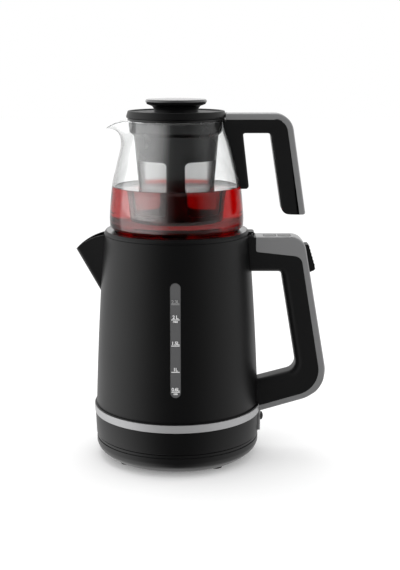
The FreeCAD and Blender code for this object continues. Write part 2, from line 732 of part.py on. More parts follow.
def spout_solid(wall):
    sections = [beak_section(form, SPOUT_ROOT_X, wall) for form in (SPOUT_LOW, SPOUT_HIGH)]
    return Part.makeLoft(sections, True, True)


def spout_trim():
    """What is cut away above the spout's pouring edge."""
    far = SPOUT_HIGH[1] - SPOUT_WALL
    root = SPOUT_ROOT_X / 2
    top = SPOUT_HIGH[0] + SPOUT_WALL
    tip_x = -SHELL_RIM_R - SPOUT_TIP_OUT
    tip_z = SHELL_RIM_Z + SPOUT_TIP_RISE
    steps = [
        (far, tip_z - SPOUT_NIB), (tip_x - SPOUT_NIB, tip_z - SPOUT_NIB), (tip_x, tip_z),
        (-SHELL_RIM_R - SPOUT_EDGE_OUT, SHELL_RIM_Z + SPOUT_EDGE_RISE, -SHELL_RIM_R, SHELL_RIM_Z),
        (root, SHELL_RIM_Z), (root, top), (far, top),
    ]
    return slab(steps, SPOUT_HIGH_HALF * 2)


def window_column(slack):
    """A stadium-shaped bar through the front wall, for the water window."""
    half = WINDOW_HALF - slack
    z0 = WINDOW_Z0 + slack
    z1 = WINDOW_Z1 - slack
    steps = [
        (-half, z0 + half), (0, z0, half, z0 + half), (half, z1 - half), (0, z1, -half, z1 - half),
    ]
    return slab(steps, -SHELL_RIM_R / 2, -SHELL_FOOT_R * 1.1)


def kettle_shell():
    outer = shell_solid(0, SHELL_FOOT_Z, SHELL_RIM_Z).fuse(spout_solid(0).cut(spout_trim()))
    inner = shell_solid(SHELL_WALL, SHELL_FOOT_Z, SHELL_RIM_Z)
    return outer.cut([inner, spout_solid(SPOUT_WALL), window_column(0)]).removeSplitter()


def water_window():
    outer = shell_solid(WINDOW_SINK, SHELL_FOOT_Z, SHELL_RIM_Z)
    inner = shell_solid(WINDOW_SINK + WINDOW_T, SHELL_FOOT_Z, SHELL_RIM_Z)
    return outer.cut(inner).common(window_column(FIT))


def spout_strainer():
    """A slotted plate inside the wall that keeps scale out of the spout."""
    x = STRAINER_STAND + SHELL_WALL - SHELL_RIM_R
    z0 = SHELL_RIM_Z + STRAINER_LOW_RISE
    z1 = SHELL_RIM_Z + STRAINER_HIGH_RISE
    plate = block(x, x + STRAINER_T, -STRAINER_HALF, STRAINER_HALF, z0, z1)
    pitch = (STRAINER_HALF - STRAINER_SIDE) * 2 / STRAINER_SLOTS
    slots = []
    for index in range(STRAINER_SLOTS):
        y = STRAINER_SIDE - STRAINER_HALF + pitch * (index + 0.5)
        slots.append(block(x, x + STRAINER_T, y - STRAINER_SLOT_W / 2, y + STRAINER_SLOT_W / 2,
                           z0 + STRAINER_FRAME, z1 - STRAINER_FRAME))
    return plate.cut(slots)


# Kettle handle

def back_x(z):
    """The handle's outer edge at a height, along its straight back."""
    share = (HANDLE_TOP_Z - z) / (HANDLE_TOP_Z - HANDLE_BACK_LOW_Z)
    return HANDLE_BACK_TOP_X + (HANDLE_BACK_LOW_X - HANDLE_BACK_TOP_X) * share


def low_slope():
    """How steeply the handle's lower edge climbs from its end to its back corner."""
    return (HANDLE_BACK_LOW_Z - HANDLE_END_Z) / (HANDLE_BACK_LOW_X - HANDLE_END_X)


def strip_steps():
    """The line between the grip and the cover, from the housing's corner to the lower end."""
    slope = low_slope()
    rise = STRIP_T * math.hypot(1, slope)
    inset = STRIP_T * STRIP_CORNER
    end_z = HANDLE_END_Z + rise - (HANDLE_END_X - SHELL_MID_R) * slope
    return [
        (HOUSING_X, HOUSING_LOW_Z, HOUSING_LOW_ROUND),
        (back_x(HOUSING_BACK_Z) - STRIP_T, HOUSING_BACK_Z, HOUSING_BACK_ROUND),
        (HANDLE_BACK_LOW_X - inset, HANDLE_BACK_LOW_Z + rise - inset * slope, HANDLE_LOW_ROUND - STRIP_T),
        (SHELL_MID_R, end_z),
    ]


def kettle_envelope():
    """The kettle's own side, which the handle's pieces are cut back to."""
    collar = disc(HANDLE_END_X, SKIRT_BOTTOM_Z, SKIRT_TOP_Z + FIT)
    return shell_solid(0, SHELL_FOOT_Z, SHELL_RIM_Z).fuse(collar)


def lever_room():
    """The pocket that the release button swings in."""
    room = LEVER_ROOM
    steps = [
        (LEVER_PIVOT_X - room * 4, LEVER_TOP_Z + room), (LEVER_NOSE_X, LEVER_TOP_Z + room),
        (LEVER_NOSE_X + LEVER_HALF, LEVER_LOW_Z - room), (LEVER_PIVOT_X - room, LEVER_LOW_Z - room),
    ]
    return slab(steps, LEVER_HALF + GAP)


def housing_hollow():
    return block(HOUSING_X + HOUSING_WALL, HOUSING_HOLLOW_X, -HANDLE_HALF + HOUSING_WALL,
                 HANDLE_HALF - HOUSING_WALL, GAP_TOP_Z + STRIP_T, HANDLE_TOP_Z - HOUSING_WALL)


def hinge_ears():
    """Two ears beside the lid's barrel, on the block behind the rim."""
    ears = []
    for side in (-1, 1):
        near = HINGE_LID_HALF + GAP
        y0 = min(side * near, side * (near + HINGE_EAR))
        eye = rod_y(HINGE_X, HINGE_Z, HINGE_R, y0, y0 + HINGE_EAR)
        neck = block(HINGE_X - HINGE_R, HINGE_X + HINGE_R, y0, y0 + HINGE_EAR, HINGE_Z - HINGE_EAR_DROP, HINGE_Z)
        ears.append(eye.fuse(neck))
    return ears


def handle_grip():
    """The black inner half: arm, grip and foot in one curved moulding round the finger gap."""
    root_x = SHELL_RIM_R - ARM_SINK
    steps = [(root_x, HANDLE_TOP_Z), (HOUSING_X, HANDLE_TOP_Z)] + strip_steps() + [
        (SHELL_RIM_R, GAP_END_Z), (GAP_LOW_X, GAP_LOW_Z, GAP_LOW_ROUND),
        (GAP_TOP_X, GAP_TOP_Z, GAP_TOP_ROUND), (root_x, GAP_TOP_Z),
    ]
    grip = slab(steps, HANDLE_HALF)

    def beside_gap(point):
        low = HANDLE_BACK_LOW_Z + STRIP_T * 2.2
        inside = HOUSING_X < point.x < GAP_LOW_X + FIT and low < point.z < GAP_TOP_Z + FIT
        return inside and abs(abs(point.y) - HANDLE_HALF) < FIT

    grip = round_edges(grip, GRIP_ROUND, beside_gap)
    grip = grip.cut([kettle_envelope(), lever_room()])
    barrel_room = rod_y(HINGE_X, HINGE_Z, HINGE_R + GAP * 2, -HINGE_LID_HALF - GAP, HINGE_LID_HALF + GAP)
    posts = []
    for x in (HOUSING_X + POST_INSETS[0], HOUSING_HOLLOW_X - POST_INSETS[1]):
        for side in (-1, 1):
            posts.append(disc(POST_R, GAP_TOP_Z + STRIP_T, KEY_BOARD_Z, x, side * (KEY_BOARD_HALF - POST_R)))
    grip = grip.fuse(posts + hinge_ears())
    return grip.cut([barrel_room, hinge_pin(), shell_solid(0, SHELL_FOOT_Z, SHELL_RIM_Z)]).removeSplitter()


def handle_cover():
    """The grey outer half: a housing over the upper arm that runs down the back as a strip."""
    slope = low_slope()
    steps = [
        (HOUSING_X, HANDLE_TOP_Z), (HANDLE_BACK_TOP_X, HANDLE_TOP_Z, HANDLE_TOP_ROUND),
        (HANDLE_BACK_LOW_X, HANDLE_BACK_LOW_Z, HANDLE_LOW_ROUND),
        (SHELL_MID_R, HANDLE_END_Z - (HANDLE_END_X - SHELL_MID_R) * slope),
    ] + list(reversed(strip_steps()))
    cover = slab(steps, HANDLE_HALF)

    def outer_edge(point):
        below = point.z < HOUSING_LOW_Z and point.x < back_x(point.z) - STRIP_T / 2
        face = abs(abs(point.y) - HANDLE_HALF) < FIT
        low_line = point.z < HANDLE_END_Z + (point.x - HANDLE_END_X) * slope + STRIP_T / 2
        return face and point.x > HOUSING_X + GAP and (low_line or not below)

    cover = round_edges(cover, STRIP_ROUND, outer_edge)
    apertures = [key_bar(x, KEY_LENGTH / 2 + GAP, KEY_HALF + GAP, KEY_ROUND + GAP,
                         HANDLE_TOP_Z - HOUSING_WALL - GAP, HANDLE_TOP_Z + GAP) for x in KEY_X]
    eye = rod_y(LEVER_PIVOT_X, LEVER_PIVOT_Z, LEVER_PIN_R + PIN_PLAY,
                -LEVER_HALF - LEVER_PIN_REACH - GAP, LEVER_HALF + LEVER_PIN_REACH + GAP)
    return cover.cut([kettle_envelope(), housing_hollow(), lever_room(), eye] + apertures).removeSplitter()


def key_bar(x, half_x, half_y, corner, z0, z1):
    """A bar with rounded corners in plan, standing on z0."""
    bar = block(x - half_x, x + half_x, -half_y, half_y, z0, z1)
    upright = [edge for edge in bar.Edges if abs(edge.Vertexes[0].Z - edge.Vertexes[-1].Z) > FIT]
    return bar.makeFillet(corner, upright)


def handle_key(x):
    """A key cap with a flange that keeps it in, and a stem above the board."""
    under = HANDLE_TOP_Z - HOUSING_WALL - GAP
    cap = key_bar(x, KEY_LENGTH / 2, KEY_HALF, KEY_ROUND, under - KEY_FLANGE_T, HANDLE_TOP_Z + KEY_PROUD)
    flange = key_bar(x, KEY_LENGTH / 2 + KEY_FLANGE - GAP, KEY_HALF + KEY_FLANGE, KEY_ROUND,
                     under - KEY_FLANGE_T, under)
    stem = disc(KEY_STEM_R, KEY_BOARD_Z + BOARD_T + KEY_TRAVEL + GAP, under - KEY_FLANGE_T, x)
    return cap.fuse([flange, stem]).removeSplitter()


def key_board():
    x0 = HOUSING_X + HOUSING_WALL + KEY_BOARD_EDGE
    x1 = HOUSING_HOLLOW_X - KEY_BOARD_EDGE
    return block(x0, x1, -KEY_BOARD_HALF, KEY_BOARD_HALF, KEY_BOARD_Z, KEY_BOARD_Z + BOARD_T)


def release_button():
    """The thumb wedge, with its pivot pin moulded through it."""
    eye_r = LEVER_PIN_R * 1.5
    round_r = LEVER_PIN_R / 1.5
    steps = [
        (LEVER_PIVOT_X - eye_r, LEVER_PIVOT_Z + eye_r), (LEVER_TOP_X, LEVER_TOP_Z, round_r),
        (LEVER_NOSE_X, LEVER_NOSE_Z, round_r), (LEVER_NOSE_X - LEVER_PIN_R, LEVER_NOSE_Z - eye_r, round_r),
        (back_x(LEVER_LOW_Z) - round_r, LEVER_LOW_Z), (back_x(LEVER_LOW_Z) - STRIP_T, LEVER_LOW_Z + round_r),
        (LEVER_PIVOT_X - eye_r, LEVER_PIVOT_Z - eye_r),
    ]
    reach = LEVER_HALF + LEVER_PIN_REACH
    pin = rod_y(LEVER_PIVOT_X, LEVER_PIVOT_Z, LEVER_PIN_R, -reach, reach)
    return slab(steps, LEVER_HALF).fuse(pin).removeSplitter()


# Control plate at the back of the skirt

def control_plate():
    inner = PLATE_R - PLATE_T
    plate = ring(PLATE_R, inner, PLATE_Z0, PLATE_Z1)
    plate = plate.common(block(0, PLATE_R, -PLATE_HALF, PLATE_HALF, PLATE_Z0, PLATE_Z1))
    return plate.cut(rod_x(BOARD_X, BUTTON_FACE_X, BUTTON_Z, BUTTON_R + GAP))


def power_button():
    """A domed push button, with a flange behind the skirt's wall."""
    steps = [
        (0, BUTTON_BACK_X - BUTTON_FLANGE), (BUTTON_R + BUTTON_FLANGE, BUTTON_BACK_X - BUTTON_FLANGE),
        (BUTTON_R + BUTTON_FLANGE, BUTTON_BACK_X), (BUTTON_R, BUTTON_BACK_X), (BUTTON_R, BUTTON_FACE_X),
        dome(BUTTON_R, BUTTON_FACE_X, BUTTON_FACE_X + BUTTON_DOME),
    ]
    button = lathe(steps)
    button.rotate(V(0, 0, 0), V(0, 1, 0), 90)
    button.translate(V(0, 0, BUTTON_Z))
    return button


def control_board():
    return block(BOARD_X - BOARD_T, BOARD_X, -BOARD_HALF, BOARD_HALF, PLATE_TOP_Z, BOARD_TOP_Z)


# Kettle lid

def vent_holes(z0, z1):
    return around(disc(VENT_R, z0, z1, VENT_RING_R), VENTS) + [disc(VENT_R, z0, z1)]


def lid_deck():
    """The glossy lid: a bevelled deck that the teapot stands on, with a collar below."""
    under = LID_DECK_Z - LID_T
    plug_in = LID_PLUG_R - LID_PLUG_WALL
    groove_r = LID_PLUG_R - LID_SEAL_GROOVE
    groove_top = LID_SEAL_Z + LID_SEAL_H + FIT
    steps = [
        (0, under), (plug_in, under), (plug_in, LID_PLUG_Z), (LID_PLUG_R, LID_PLUG_Z),
        (LID_PLUG_R, LID_SEAL_Z - FIT), (groove_r, LID_SEAL_Z - FIT), (groove_r, groove_top),
        (LID_PLUG_R, groove_top), (LID_PLUG_R, LID_EDGE_Z), (SHELL_RIM_R, LID_EDGE_Z),
        (SHELL_RIM_R, LID_EDGE_Z + LID_EDGE_T), (LID_DECK_R, LID_DECK_Z), (0, LID_DECK_Z),
    ]
    tab = block(LID_DECK_R, HINGE_X, -HINGE_LID_HALF, HINGE_LID_HALF, LID_EDGE_Z, HINGE_Z + HINGE_R)
    barrel = rod_y(HINGE_X, HINGE_Z, HINGE_R, -HINGE_LID_HALF, HINGE_LID_HALF)
    bore = rod_y(HINGE_X, HINGE_Z, HINGE_PIN_R + PIN_PLAY, -HINGE_LID_HALF, HINGE_LID_HALF)
    lid = lathe(steps).fuse([tab, barrel]).cut([bore] + vent_holes(under, LID_DECK_Z))
    return lid.removeSplitter()


def lid_liner():
    inner = LID_PLUG_R - LID_PLUG_WALL - FIT
    plate = disc(inner, LID_PLUG_Z, LID_PLUG_Z + LID_LINER_T)
    return plate.cut(vent_holes(LID_PLUG_Z, LID_PLUG_Z + LID_LINER_T))


def lid_seal():
    inner = LID_PLUG_R - LID_SEAL_GROOVE + FIT
    return ring(LID_PLUG_R + LID_SEAL_W, inner, LID_SEAL_Z, LID_SEAL_Z + LID_SEAL_H)


def hinge_pin():
    reach = HINGE_LID_HALF + GAP + HINGE_EAR
    return rod_y(HINGE_X, HINGE_Z, HINGE_PIN_R, -reach, reach)


# Teapot

def pot_side(inset):
    """The bellied side of the glass as a smooth curve, moved in by an inset."""
    curve = Part.BSplineCurve()
    curve.interpolate([V(x - inset, 0, z) for x, z in POT_SIDE])
    return curve.toShape()


def pot_solid(inset, foot):
    """The glass filled solid: a foot outline from the axis, the side, and a flat top."""
    side = pot_side(inset)
    low = V(POT_SIDE[0][0] - inset, 0, POT_SIDE[0][1])
    high = V(POT_SIDE[-1][0] - inset, 0, POT_SIDE[-1][1])
    edges = []
    for start, end in zip(foot, foot[1:] + [low]):
        edges.append(Part.LineSegment(start, end).toShape())
    top = V(0, 0, high.z)
    edges.append(side)
    edges.append(Part.LineSegment(high, top).toShape())
    edges.append(Part.LineSegment(top, foot[0]).toShape())
    return Part.Face(Part.Wire(edges)).revolve(V(0, 0, 0), V(0, 0, 1), 360)


def lip_solid(wall):
    """The pulled pouring lip, as a rounded beak that grows out of the neck."""
    sections = []
    for rise, out, half, nose_r in LIP_FORMS:
        form = (POT_RIM_Z + rise, -POT_RIM_R - out, half, nose_r)
        sections.append(beak_section(form, LIP_ROOT_IN - POT_RIM_R, wall))
    return Part.makeLoft(sections, True, True)


def lip_trim():
    """What is cut away above the rim and the falling edge of the lip."""
    far = -POT_RIM_R - LIP_OUT * 2
    high = POT_RIM_Z + LIP_OUT
    steps = [
        (far, POT_RIM_Z - LIP_DROP), (-POT_RIM_R - LIP_OUT, POT_RIM_Z - LIP_DROP), (-POT_RIM_R, POT_RIM_Z),
        (0, POT_RIM_Z), (0, high), (far, high),
    ]
    return slab(steps, LIP_OUT * 2)


def teapot_glass():
    """Blown glass: bellied side, flat foot, straight neck and a pulled lip."""
    cup_z = POT_BOTTOM_Z + POT_FOOT_CUP
    floor_z = cup_z + POT_FLOOR_T
    outer_foot = [
        V(0, 0, cup_z), V(POT_FOOT_R - POT_FOOT_W - POT_FOOT_CUP, 0, cup_z),
        V(POT_FOOT_R - POT_FOOT_W, 0, POT_BOTTOM_Z), V(POT_FOOT_R, 0, POT_BOTTOM_Z),
    ]
    inner_foot = [V(0, 0, floor_z), V(POT_FOOT_R - POT_WALL, 0, floor_z)]
    outer = pot_solid(0, outer_foot).fuse(lip_solid(0).cut(lip_trim()))
    return outer.cut([pot_solid(POT_WALL, inner_foot), lip_solid(LIP_WALL)]).removeSplitter()


def pot_handle_split():
    """The line between the black grip and the grey strip of the teapot's handle."""
    slope = (POT_HANDLE_END_X - POT_HANDLE_BACK_X) / (POT_HANDLE_TOP_Z - POT_HANDLE_END_Z)
    inner_z = POT_HANDLE_TOP_Z - POT_STRIP_T
    inset = POT_STRIP_T * POT_STRIP_LEAN
    corner_x = POT_HANDLE_BACK_X - inset + POT_STRIP_T * slope
    end_x = POT_HANDLE_END_X - inset
    return [(corner_x, inner_z, POT_HANDLE_ROUND - POT_STRIP_T), (end_x, POT_HANDLE_END_Z)]


def teapot_handle_grip():
    """The black half: a strap against the glass, the arm and the open-ended grip."""
    inner_z = POT_HANDLE_TOP_Z - POT_STRIP_T
    root_x = POT_HANDLE_X0 - POT_HANDLE_SINK
    corner, end = pot_handle_split()
    steps = [
        (root_x, inner_z), corner, end, (POT_RIM_R + POT_GAP_LOW_OUT, POT_HANDLE_END_Z, POT_END_ROUND),
        (POT_RIM_R + POT_GAP_FAR_OUT, POT_ARM_Z, POT_GAP_ROUND),
        (POT_RIM_R + POT_GAP_NEAR_OUT, POT_ARM_Z, POT_GAP_NEAR_ROUND), (POT_STRAP_X, POT_STRAP_Z, POT_WALL / 2),
        (POT_RIM_R + POT_STRAP_NEAR_OUT, POT_STRAP_Z), (root_x, POT_ARM_Z),
    ]
    grip = slab(steps, POT_HANDLE_HALF)

    def beside_gap(point):
        inside = POT_RIM_R + POT_STRAP_NEAR_OUT < point.x < end[0] - POT_STRIP_T / 2
        return inside and point.z < POT_ARM_Z + FIT and abs(abs(point.y) - POT_HANDLE_HALF) < FIT

    grip = round_edges(grip, POT_GRIP_ROUND, beside_gap)
    filled = pot_solid(-FIT, [V(0, 0, POT_BOTTOM_Z)])
    head = disc(POT_HANDLE_X0, POT_RIM_Z - GAP, POT_HANDLE_TOP_Z)
    return grip.cut([filled, head]).removeSplitter()


def teapot_handle_cover():
    """The grey strip over the teapot's handle."""
    inner_z = POT_HANDLE_TOP_Z - POT_STRIP_T
    root_x = POT_HANDLE_X0 - POT_HANDLE_SINK
    corner, end = pot_handle_split()
    steps = [
        (root_x, POT_HANDLE_TOP_Z), (POT_HANDLE_BACK_X, POT_HANDLE_TOP_Z, POT_HANDLE_ROUND),
        (POT_HANDLE_END_X, POT_HANDLE_END_Z, STRIP_ROUND), end, corner, (root_x, inner_z),
    ]
    cover = slab(steps, POT_HANDLE_HALF)

    def outer_edge(point):
        slope = (POT_HANDLE_END_X - POT_HANDLE_BACK_X) / (POT_HANDLE_TOP_Z - POT_HANDLE_END_Z)
        line = POT_HANDLE_BACK_X + (POT_HANDLE_TOP_Z - point.z) * slope - POT_STRIP_T / 2
        outside = point.z > POT_HANDLE_TOP_Z - FIT or point.x > line
        corner_zone = point.x > POT_HANDLE_BACK_X - POT_HANDLE_ROUND and point.z > inner_z - STRIP_ROUND
        return abs(abs(point.y) - POT_HANDLE_HALF) < FIT and (outside or corner_zone)

    cover = round_edges(cover, STRIP_ROUND, outer_edge)
    return cover.cut(disc(POT_HANDLE_X0, inner_z - GAP, POT_HANDLE_TOP_Z + GAP))


# Infuser

def infuser_frame():
    """The moulded basket: collar, tapered tube, four tall windows and a holed floor ring."""
    wall = BASKET_WALL
    floor_z = BASKET_LOW_Z + BASKET_FLOOR_T
    floor_r = BASKET_LOW_R - BASKET_FLOOR_W
    steps = [
        (COLLAR_R - wall, FLANGE_Z + FLANGE_T), (FLANGE_R, FLANGE_Z + FLANGE_T), (FLANGE_R, FLANGE_Z),
        (COLLAR_R, FLANGE_Z), (COLLAR_LOW_R, COLLAR_LOW_Z, BASKET_SHOULDER_ROUND),
        (BASKET_TOP_R, BASKET_TOP_Z, BASKET_SHOULDER_ROUND), (BASKET_LOW_R, BASKET_LOW_Z, BASKET_HEEL_ROUND),
        (floor_r, BASKET_LOW_Z), (floor_r, floor_z), (BASKET_LOW_R - wall, floor_z),
        (BASKET_TOP_R - wall, BASKET_TOP_Z), (COLLAR_LOW_R - wall, COLLAR_LOW_Z),
    ]
    top = BASKET_WINDOW_TOP_HALF
    low = BASKET_WINDOW_LOW_HALF
    turn = BASKET_WINDOW_ROUND
    window = slab([
        (0, BASKET_WINDOW_LOW_Z), (low, BASKET_WINDOW_LOW_Z, turn), (top, BASKET_WINDOW_TOP_Z, turn),
        (-top, BASKET_WINDOW_TOP_Z, turn), (-low, BASKET_WINDOW_LOW_Z, turn),
    ], BASKET_TOP_R * 1.5, BASKET_LOW_R / 3)
    return lathe(steps).cut(around(window, BASKET_WINDOWS, BASKET_TURN_DEG)).removeSplitter()


def infuser_mesh():
    """The fine steel gauze inside the frame, as a thin cup."""
    taper = (BASKET_TOP_R - BASKET_LOW_R) / (BASKET_TOP_Z - BASKET_LOW_Z)
    z0 = BASKET_LOW_Z + BASKET_FLOOR_T
    low = BASKET_LOW_R - BASKET_WALL - FIT
    z1 = BASKET_WINDOW_TOP_Z + MESH_LAP
    high = low + taper * (z1 - z0) - FIT
    steps = [
        (0, z0), (low, z0), (high, z1), (high - MESH_T, z1), (low - MESH_T, z0 + MESH_T), (0, z0 + MESH_T),
    ]
    return lathe(steps)


# Teapot lid

def pot_lid_disc():
    """A dished disc with a raised edge, hollow below, and the spigot that enters the infuser."""
    under = POT_LID_DECK_Z - POT_LID_T
    dish_r = POT_LID_R - POT_LID_DISH_IN
    rise = POT_LID_TOP_Z - POT_LID_DECK_Z
    steps = [
        (POT_LID_R - POT_LID_T, POT_LID_Z), (POT_LID_R, POT_LID_Z), (POT_LID_R, POT_LID_Z + POT_LID_SKIRT),
        (POT_LID_R - POT_LID_TAPER, POT_LID_TOP_Z, rise / 2), (dish_r + rise, POT_LID_TOP_Z, rise / 3),
        (dish_r, POT_LID_DECK_Z), (0, POT_LID_DECK_Z), (0, under), (SPIGOT_R - SPIGOT_WALL, under),
        (SPIGOT_R - SPIGOT_WALL, SPIGOT_Z), (SPIGOT_R, SPIGOT_Z), (SPIGOT_R, under),
        (POT_LID_R - POT_LID_T, under),
    ]
    return lathe(steps)


def pot_lid_gasket():
    return ring(SPIGOT_R + GASKET_W, SPIGOT_R, GASKET_Z, GASKET_Z + GASKET_H)


def pot_lid_knob():
    """The neck that flares into a wide round finger grip, hollow inside."""
    inner = KNOB_NECK_R - KNOB_WALL
    bend_z = KNOB_FLARE_Z - KNOB_FLARE_H
    steps = [
        (inner, POT_LID_DECK_Z), (KNOB_NECK_R, POT_LID_DECK_Z), (KNOB_NECK_R, bend_z),
        (KNOB_NECK_R * 0.75 + KNOB_FLARE_R * 0.25, KNOB_FLARE_Z - KNOB_FLARE_H / 3, KNOB_FLARE_R, KNOB_FLARE_Z),
        (KNOB_R - KNOB_EDGE_IN, KNOB_FLARE_Z + KNOB_EDGE_IN), (KNOB_R, KNOB_SPLIT_Z), (inner, KNOB_SPLIT_Z),
    ]
    return lathe(steps)


def knob_cap():
    """The bright crowned disc on the knob."""
    shoulder_r = KNOB_R - KNOB_EDGE_IN
    steps = [
        (0, KNOB_SPLIT_Z), (KNOB_R, KNOB_SPLIT_Z),
        (KNOB_R - KNOB_EDGE_IN / 6, (KNOB_SPLIT_Z + KNOB_TOP_Z) / 2, shoulder_r, KNOB_TOP_Z),
        dome(shoulder_r, KNOB_TOP_Z, KNOB_TOP_Z + KNOB_CROWN),
    ]
    return lathe(steps)


PIECES = {
    "base_feet": base_feet,
    "base_screws": base_screws,
    "base_underplate": base_underplate,
    "base_shell": base_shell,
    "base_socket": base_socket,
    "cord_gland": cord_gland,
    "kettle_coupler": kettle_coupler,
    "skirt": skirt,
    "trim_ring": trim_ring,
    "kettle_underplate": kettle_underplate,
    "heater_plate": heater_plate,
    "heating_element": heating_element,
    "thermostat": thermostat,
    "heater_seal": heater_seal,
    "kettle_shell": kettle_shell,
    "water_window": water_window,
    "spout_strainer": spout_strainer,
    "handle_grip": handle_grip,
    "handle_cover": handle_cover,
    "key_board": key_board,
    "brew_key": lambda: handle_key(KEY_X[0]),
    "boil_key": lambda: handle_key(KEY_X[1]),
    "release_button": release_button,
    "control_plate": control_plate,
    "control_board": control_board,
    "power_button": power_button,
    "hinge_pin": hinge_pin,
    "lid_deck": lid_deck,
    "lid_liner": lid_liner,
    "lid_seal": lid_seal,
    "teapot_glass": teapot_glass,
    "teapot_handle_grip": teapot_handle_grip,
    "teapot_handle_cover": teapot_handle_cover,
    "infuser_frame": infuser_frame,
    "infuser_mesh": infuser_mesh,
    "pot_lid_disc": pot_lid_disc,
    "pot_lid_gasket": pot_lid_gasket,
    "pot_lid_knob": pot_lid_knob,
    "knob_cap": knob_cap,
}

os.makedirs("parts", exist_ok=True)
for name, build in PIECES.items():
    shape = build()
    shape.translate(V(AXIS_X, 0, 0))
    shape.exportStep("parts/" + name + ".step")
    box = shape.BoundBox
    print(name, len(shape.Solids), "solids", shape.isValid(), round(shape.Volume), "mm3",
          "x", round(box.XMin, 1), round(box.XMax, 1), "y", round(box.YMin, 1), round(box.YMax, 1),
          "z", round(box.ZMin, 1), round(box.ZMax, 1))
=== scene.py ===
import bpy
import bmesh
import math
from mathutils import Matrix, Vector


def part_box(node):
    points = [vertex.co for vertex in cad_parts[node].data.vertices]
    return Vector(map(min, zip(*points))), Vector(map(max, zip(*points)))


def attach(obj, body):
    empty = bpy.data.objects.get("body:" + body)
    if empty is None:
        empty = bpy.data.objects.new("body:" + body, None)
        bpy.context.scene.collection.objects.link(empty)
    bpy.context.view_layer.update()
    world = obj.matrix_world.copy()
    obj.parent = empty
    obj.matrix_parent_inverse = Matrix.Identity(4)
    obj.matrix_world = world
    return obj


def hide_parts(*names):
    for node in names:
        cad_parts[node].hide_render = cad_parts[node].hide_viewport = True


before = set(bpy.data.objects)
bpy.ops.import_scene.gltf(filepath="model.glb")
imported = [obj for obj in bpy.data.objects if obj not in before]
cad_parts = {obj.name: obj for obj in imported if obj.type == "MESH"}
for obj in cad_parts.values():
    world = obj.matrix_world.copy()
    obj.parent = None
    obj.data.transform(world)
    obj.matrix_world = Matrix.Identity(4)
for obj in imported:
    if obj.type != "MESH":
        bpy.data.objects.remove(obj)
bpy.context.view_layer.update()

# Studio camera: stands a little over a metre in front of the tea maker and looks
# down at it by eleven and a half degrees, with a short telephoto lens.
scene = bpy.context.scene
scene.view_settings.view_transform = "Standard"
base_low, base_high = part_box("base_shell")
AXIS_X = (base_low.x + base_high.x) / 2
CAMERA_OFFSET_X = 0.024
CAMERA_TILT = math.radians(11.67)
CAMERA_DISTANCE = 1.1846
CAMERA_AIM_Z = 0.180
CAMERA_LENS = 71.94
aim = Vector((AXIS_X + CAMERA_OFFSET_X, 0, CAMERA_AIM_Z))
away = Vector((0, -math.cos(CAMERA_TILT), math.sin(CAMERA_TILT)))
bpy.ops.object.camera_add(location=aim + away * CAMERA_DISTANCE, rotation=(math.pi / 2 - CAMERA_TILT, 0, 0))
camera = bpy.context.object
camera.data.lens = CAMERA_LENS
camera.data.sensor_width = 36
camera.data.clip_start = 0.05
camera.data.clip_end = 20
scene.camera = camera

# White studio: plain white to the eye, through glass and for soft light. Reflections
# see the room by compass bearing: a long white wall on the left, a greyer one on the
# right, white behind, and the dark end where the camera stands. Glass reflects sharply
# enough to show the bright silk of the left softbox itself.
ROOM = [
    (0.00, 0.95), (0.14, 1.00), (0.22, 1.50), (0.30, 1.45), (0.36, 0.75), (0.41, 0.22), (0.46, 0.04),
    (0.55, 0.04), (0.60, 0.15), (0.67, 0.55), (0.77, 0.85), (0.88, 0.70), (1.00, 0.95),
]
SILK = [
    (0.00, 0.95), (0.13, 0.45), (0.185, 0.70), (0.205, 2.60), (0.27, 3.60), (0.33, 3.90), (0.375, 3.10),
    (0.41, 2.30), (0.44, 1.10), (0.467, 0.15), (0.50, 0.01), (0.60, 0.01), (0.64, 0.20), (0.69, 0.40),
    (0.79, 0.42), (0.82, 0.10), (0.87, 0.05), (0.94, 0.70), (1.00, 0.95),
]
CEILING_START, CEILING_END = 0.45, 0.95
CEILING_DIM = 0.35
MIX_A, MIX_B, MIX_RESULT = 6, 7, 2


def feed(tree, entry, value):
    """Links a socket to a node's input, or sets the input to a plain number."""
    if isinstance(value, bpy.types.NodeSocket):
        tree.links.new(value, entry)
    else:
        entry.default_value = value


def math_step(tree, operation, *values):
    """The outcome of a math node on sockets or plain numbers."""
    node = tree.nodes.new("ShaderNodeMath")
    node.operation = operation
    for entry, value in zip(node.inputs, values):
        feed(tree, entry, value)
    return node.outputs[0]


def map_step(tree, value, from_min, from_max, to_min=0.0, to_max=1.0):
    """The outcome of a map range node on a socket."""
    node = tree.nodes.new("ShaderNodeMapRange")
    for name, number in (("Value", value), ("From Min", from_min), ("From Max", from_max),
                         ("To Min", to_min), ("To Max", to_max)):
        feed(tree, node.inputs[name], number)
    return node.outputs["Result"]


def wall_level(tree, turn_share, levels):
    """The brightness of the room's wall at a share of the full turn."""
    wall = tree.nodes.new("ShaderNodeValToRGB")
    for position, level in levels[1:-1]:
        wall.color_ramp.elements.new(position)
    for element, (position, level) in zip(wall.color_ramp.elements, levels):
        element.position = position
        element.color = (level, level, level, 1)
    tree.links.new(turn_share, wall.inputs["Fac"])
    return wall.outputs["Color"]


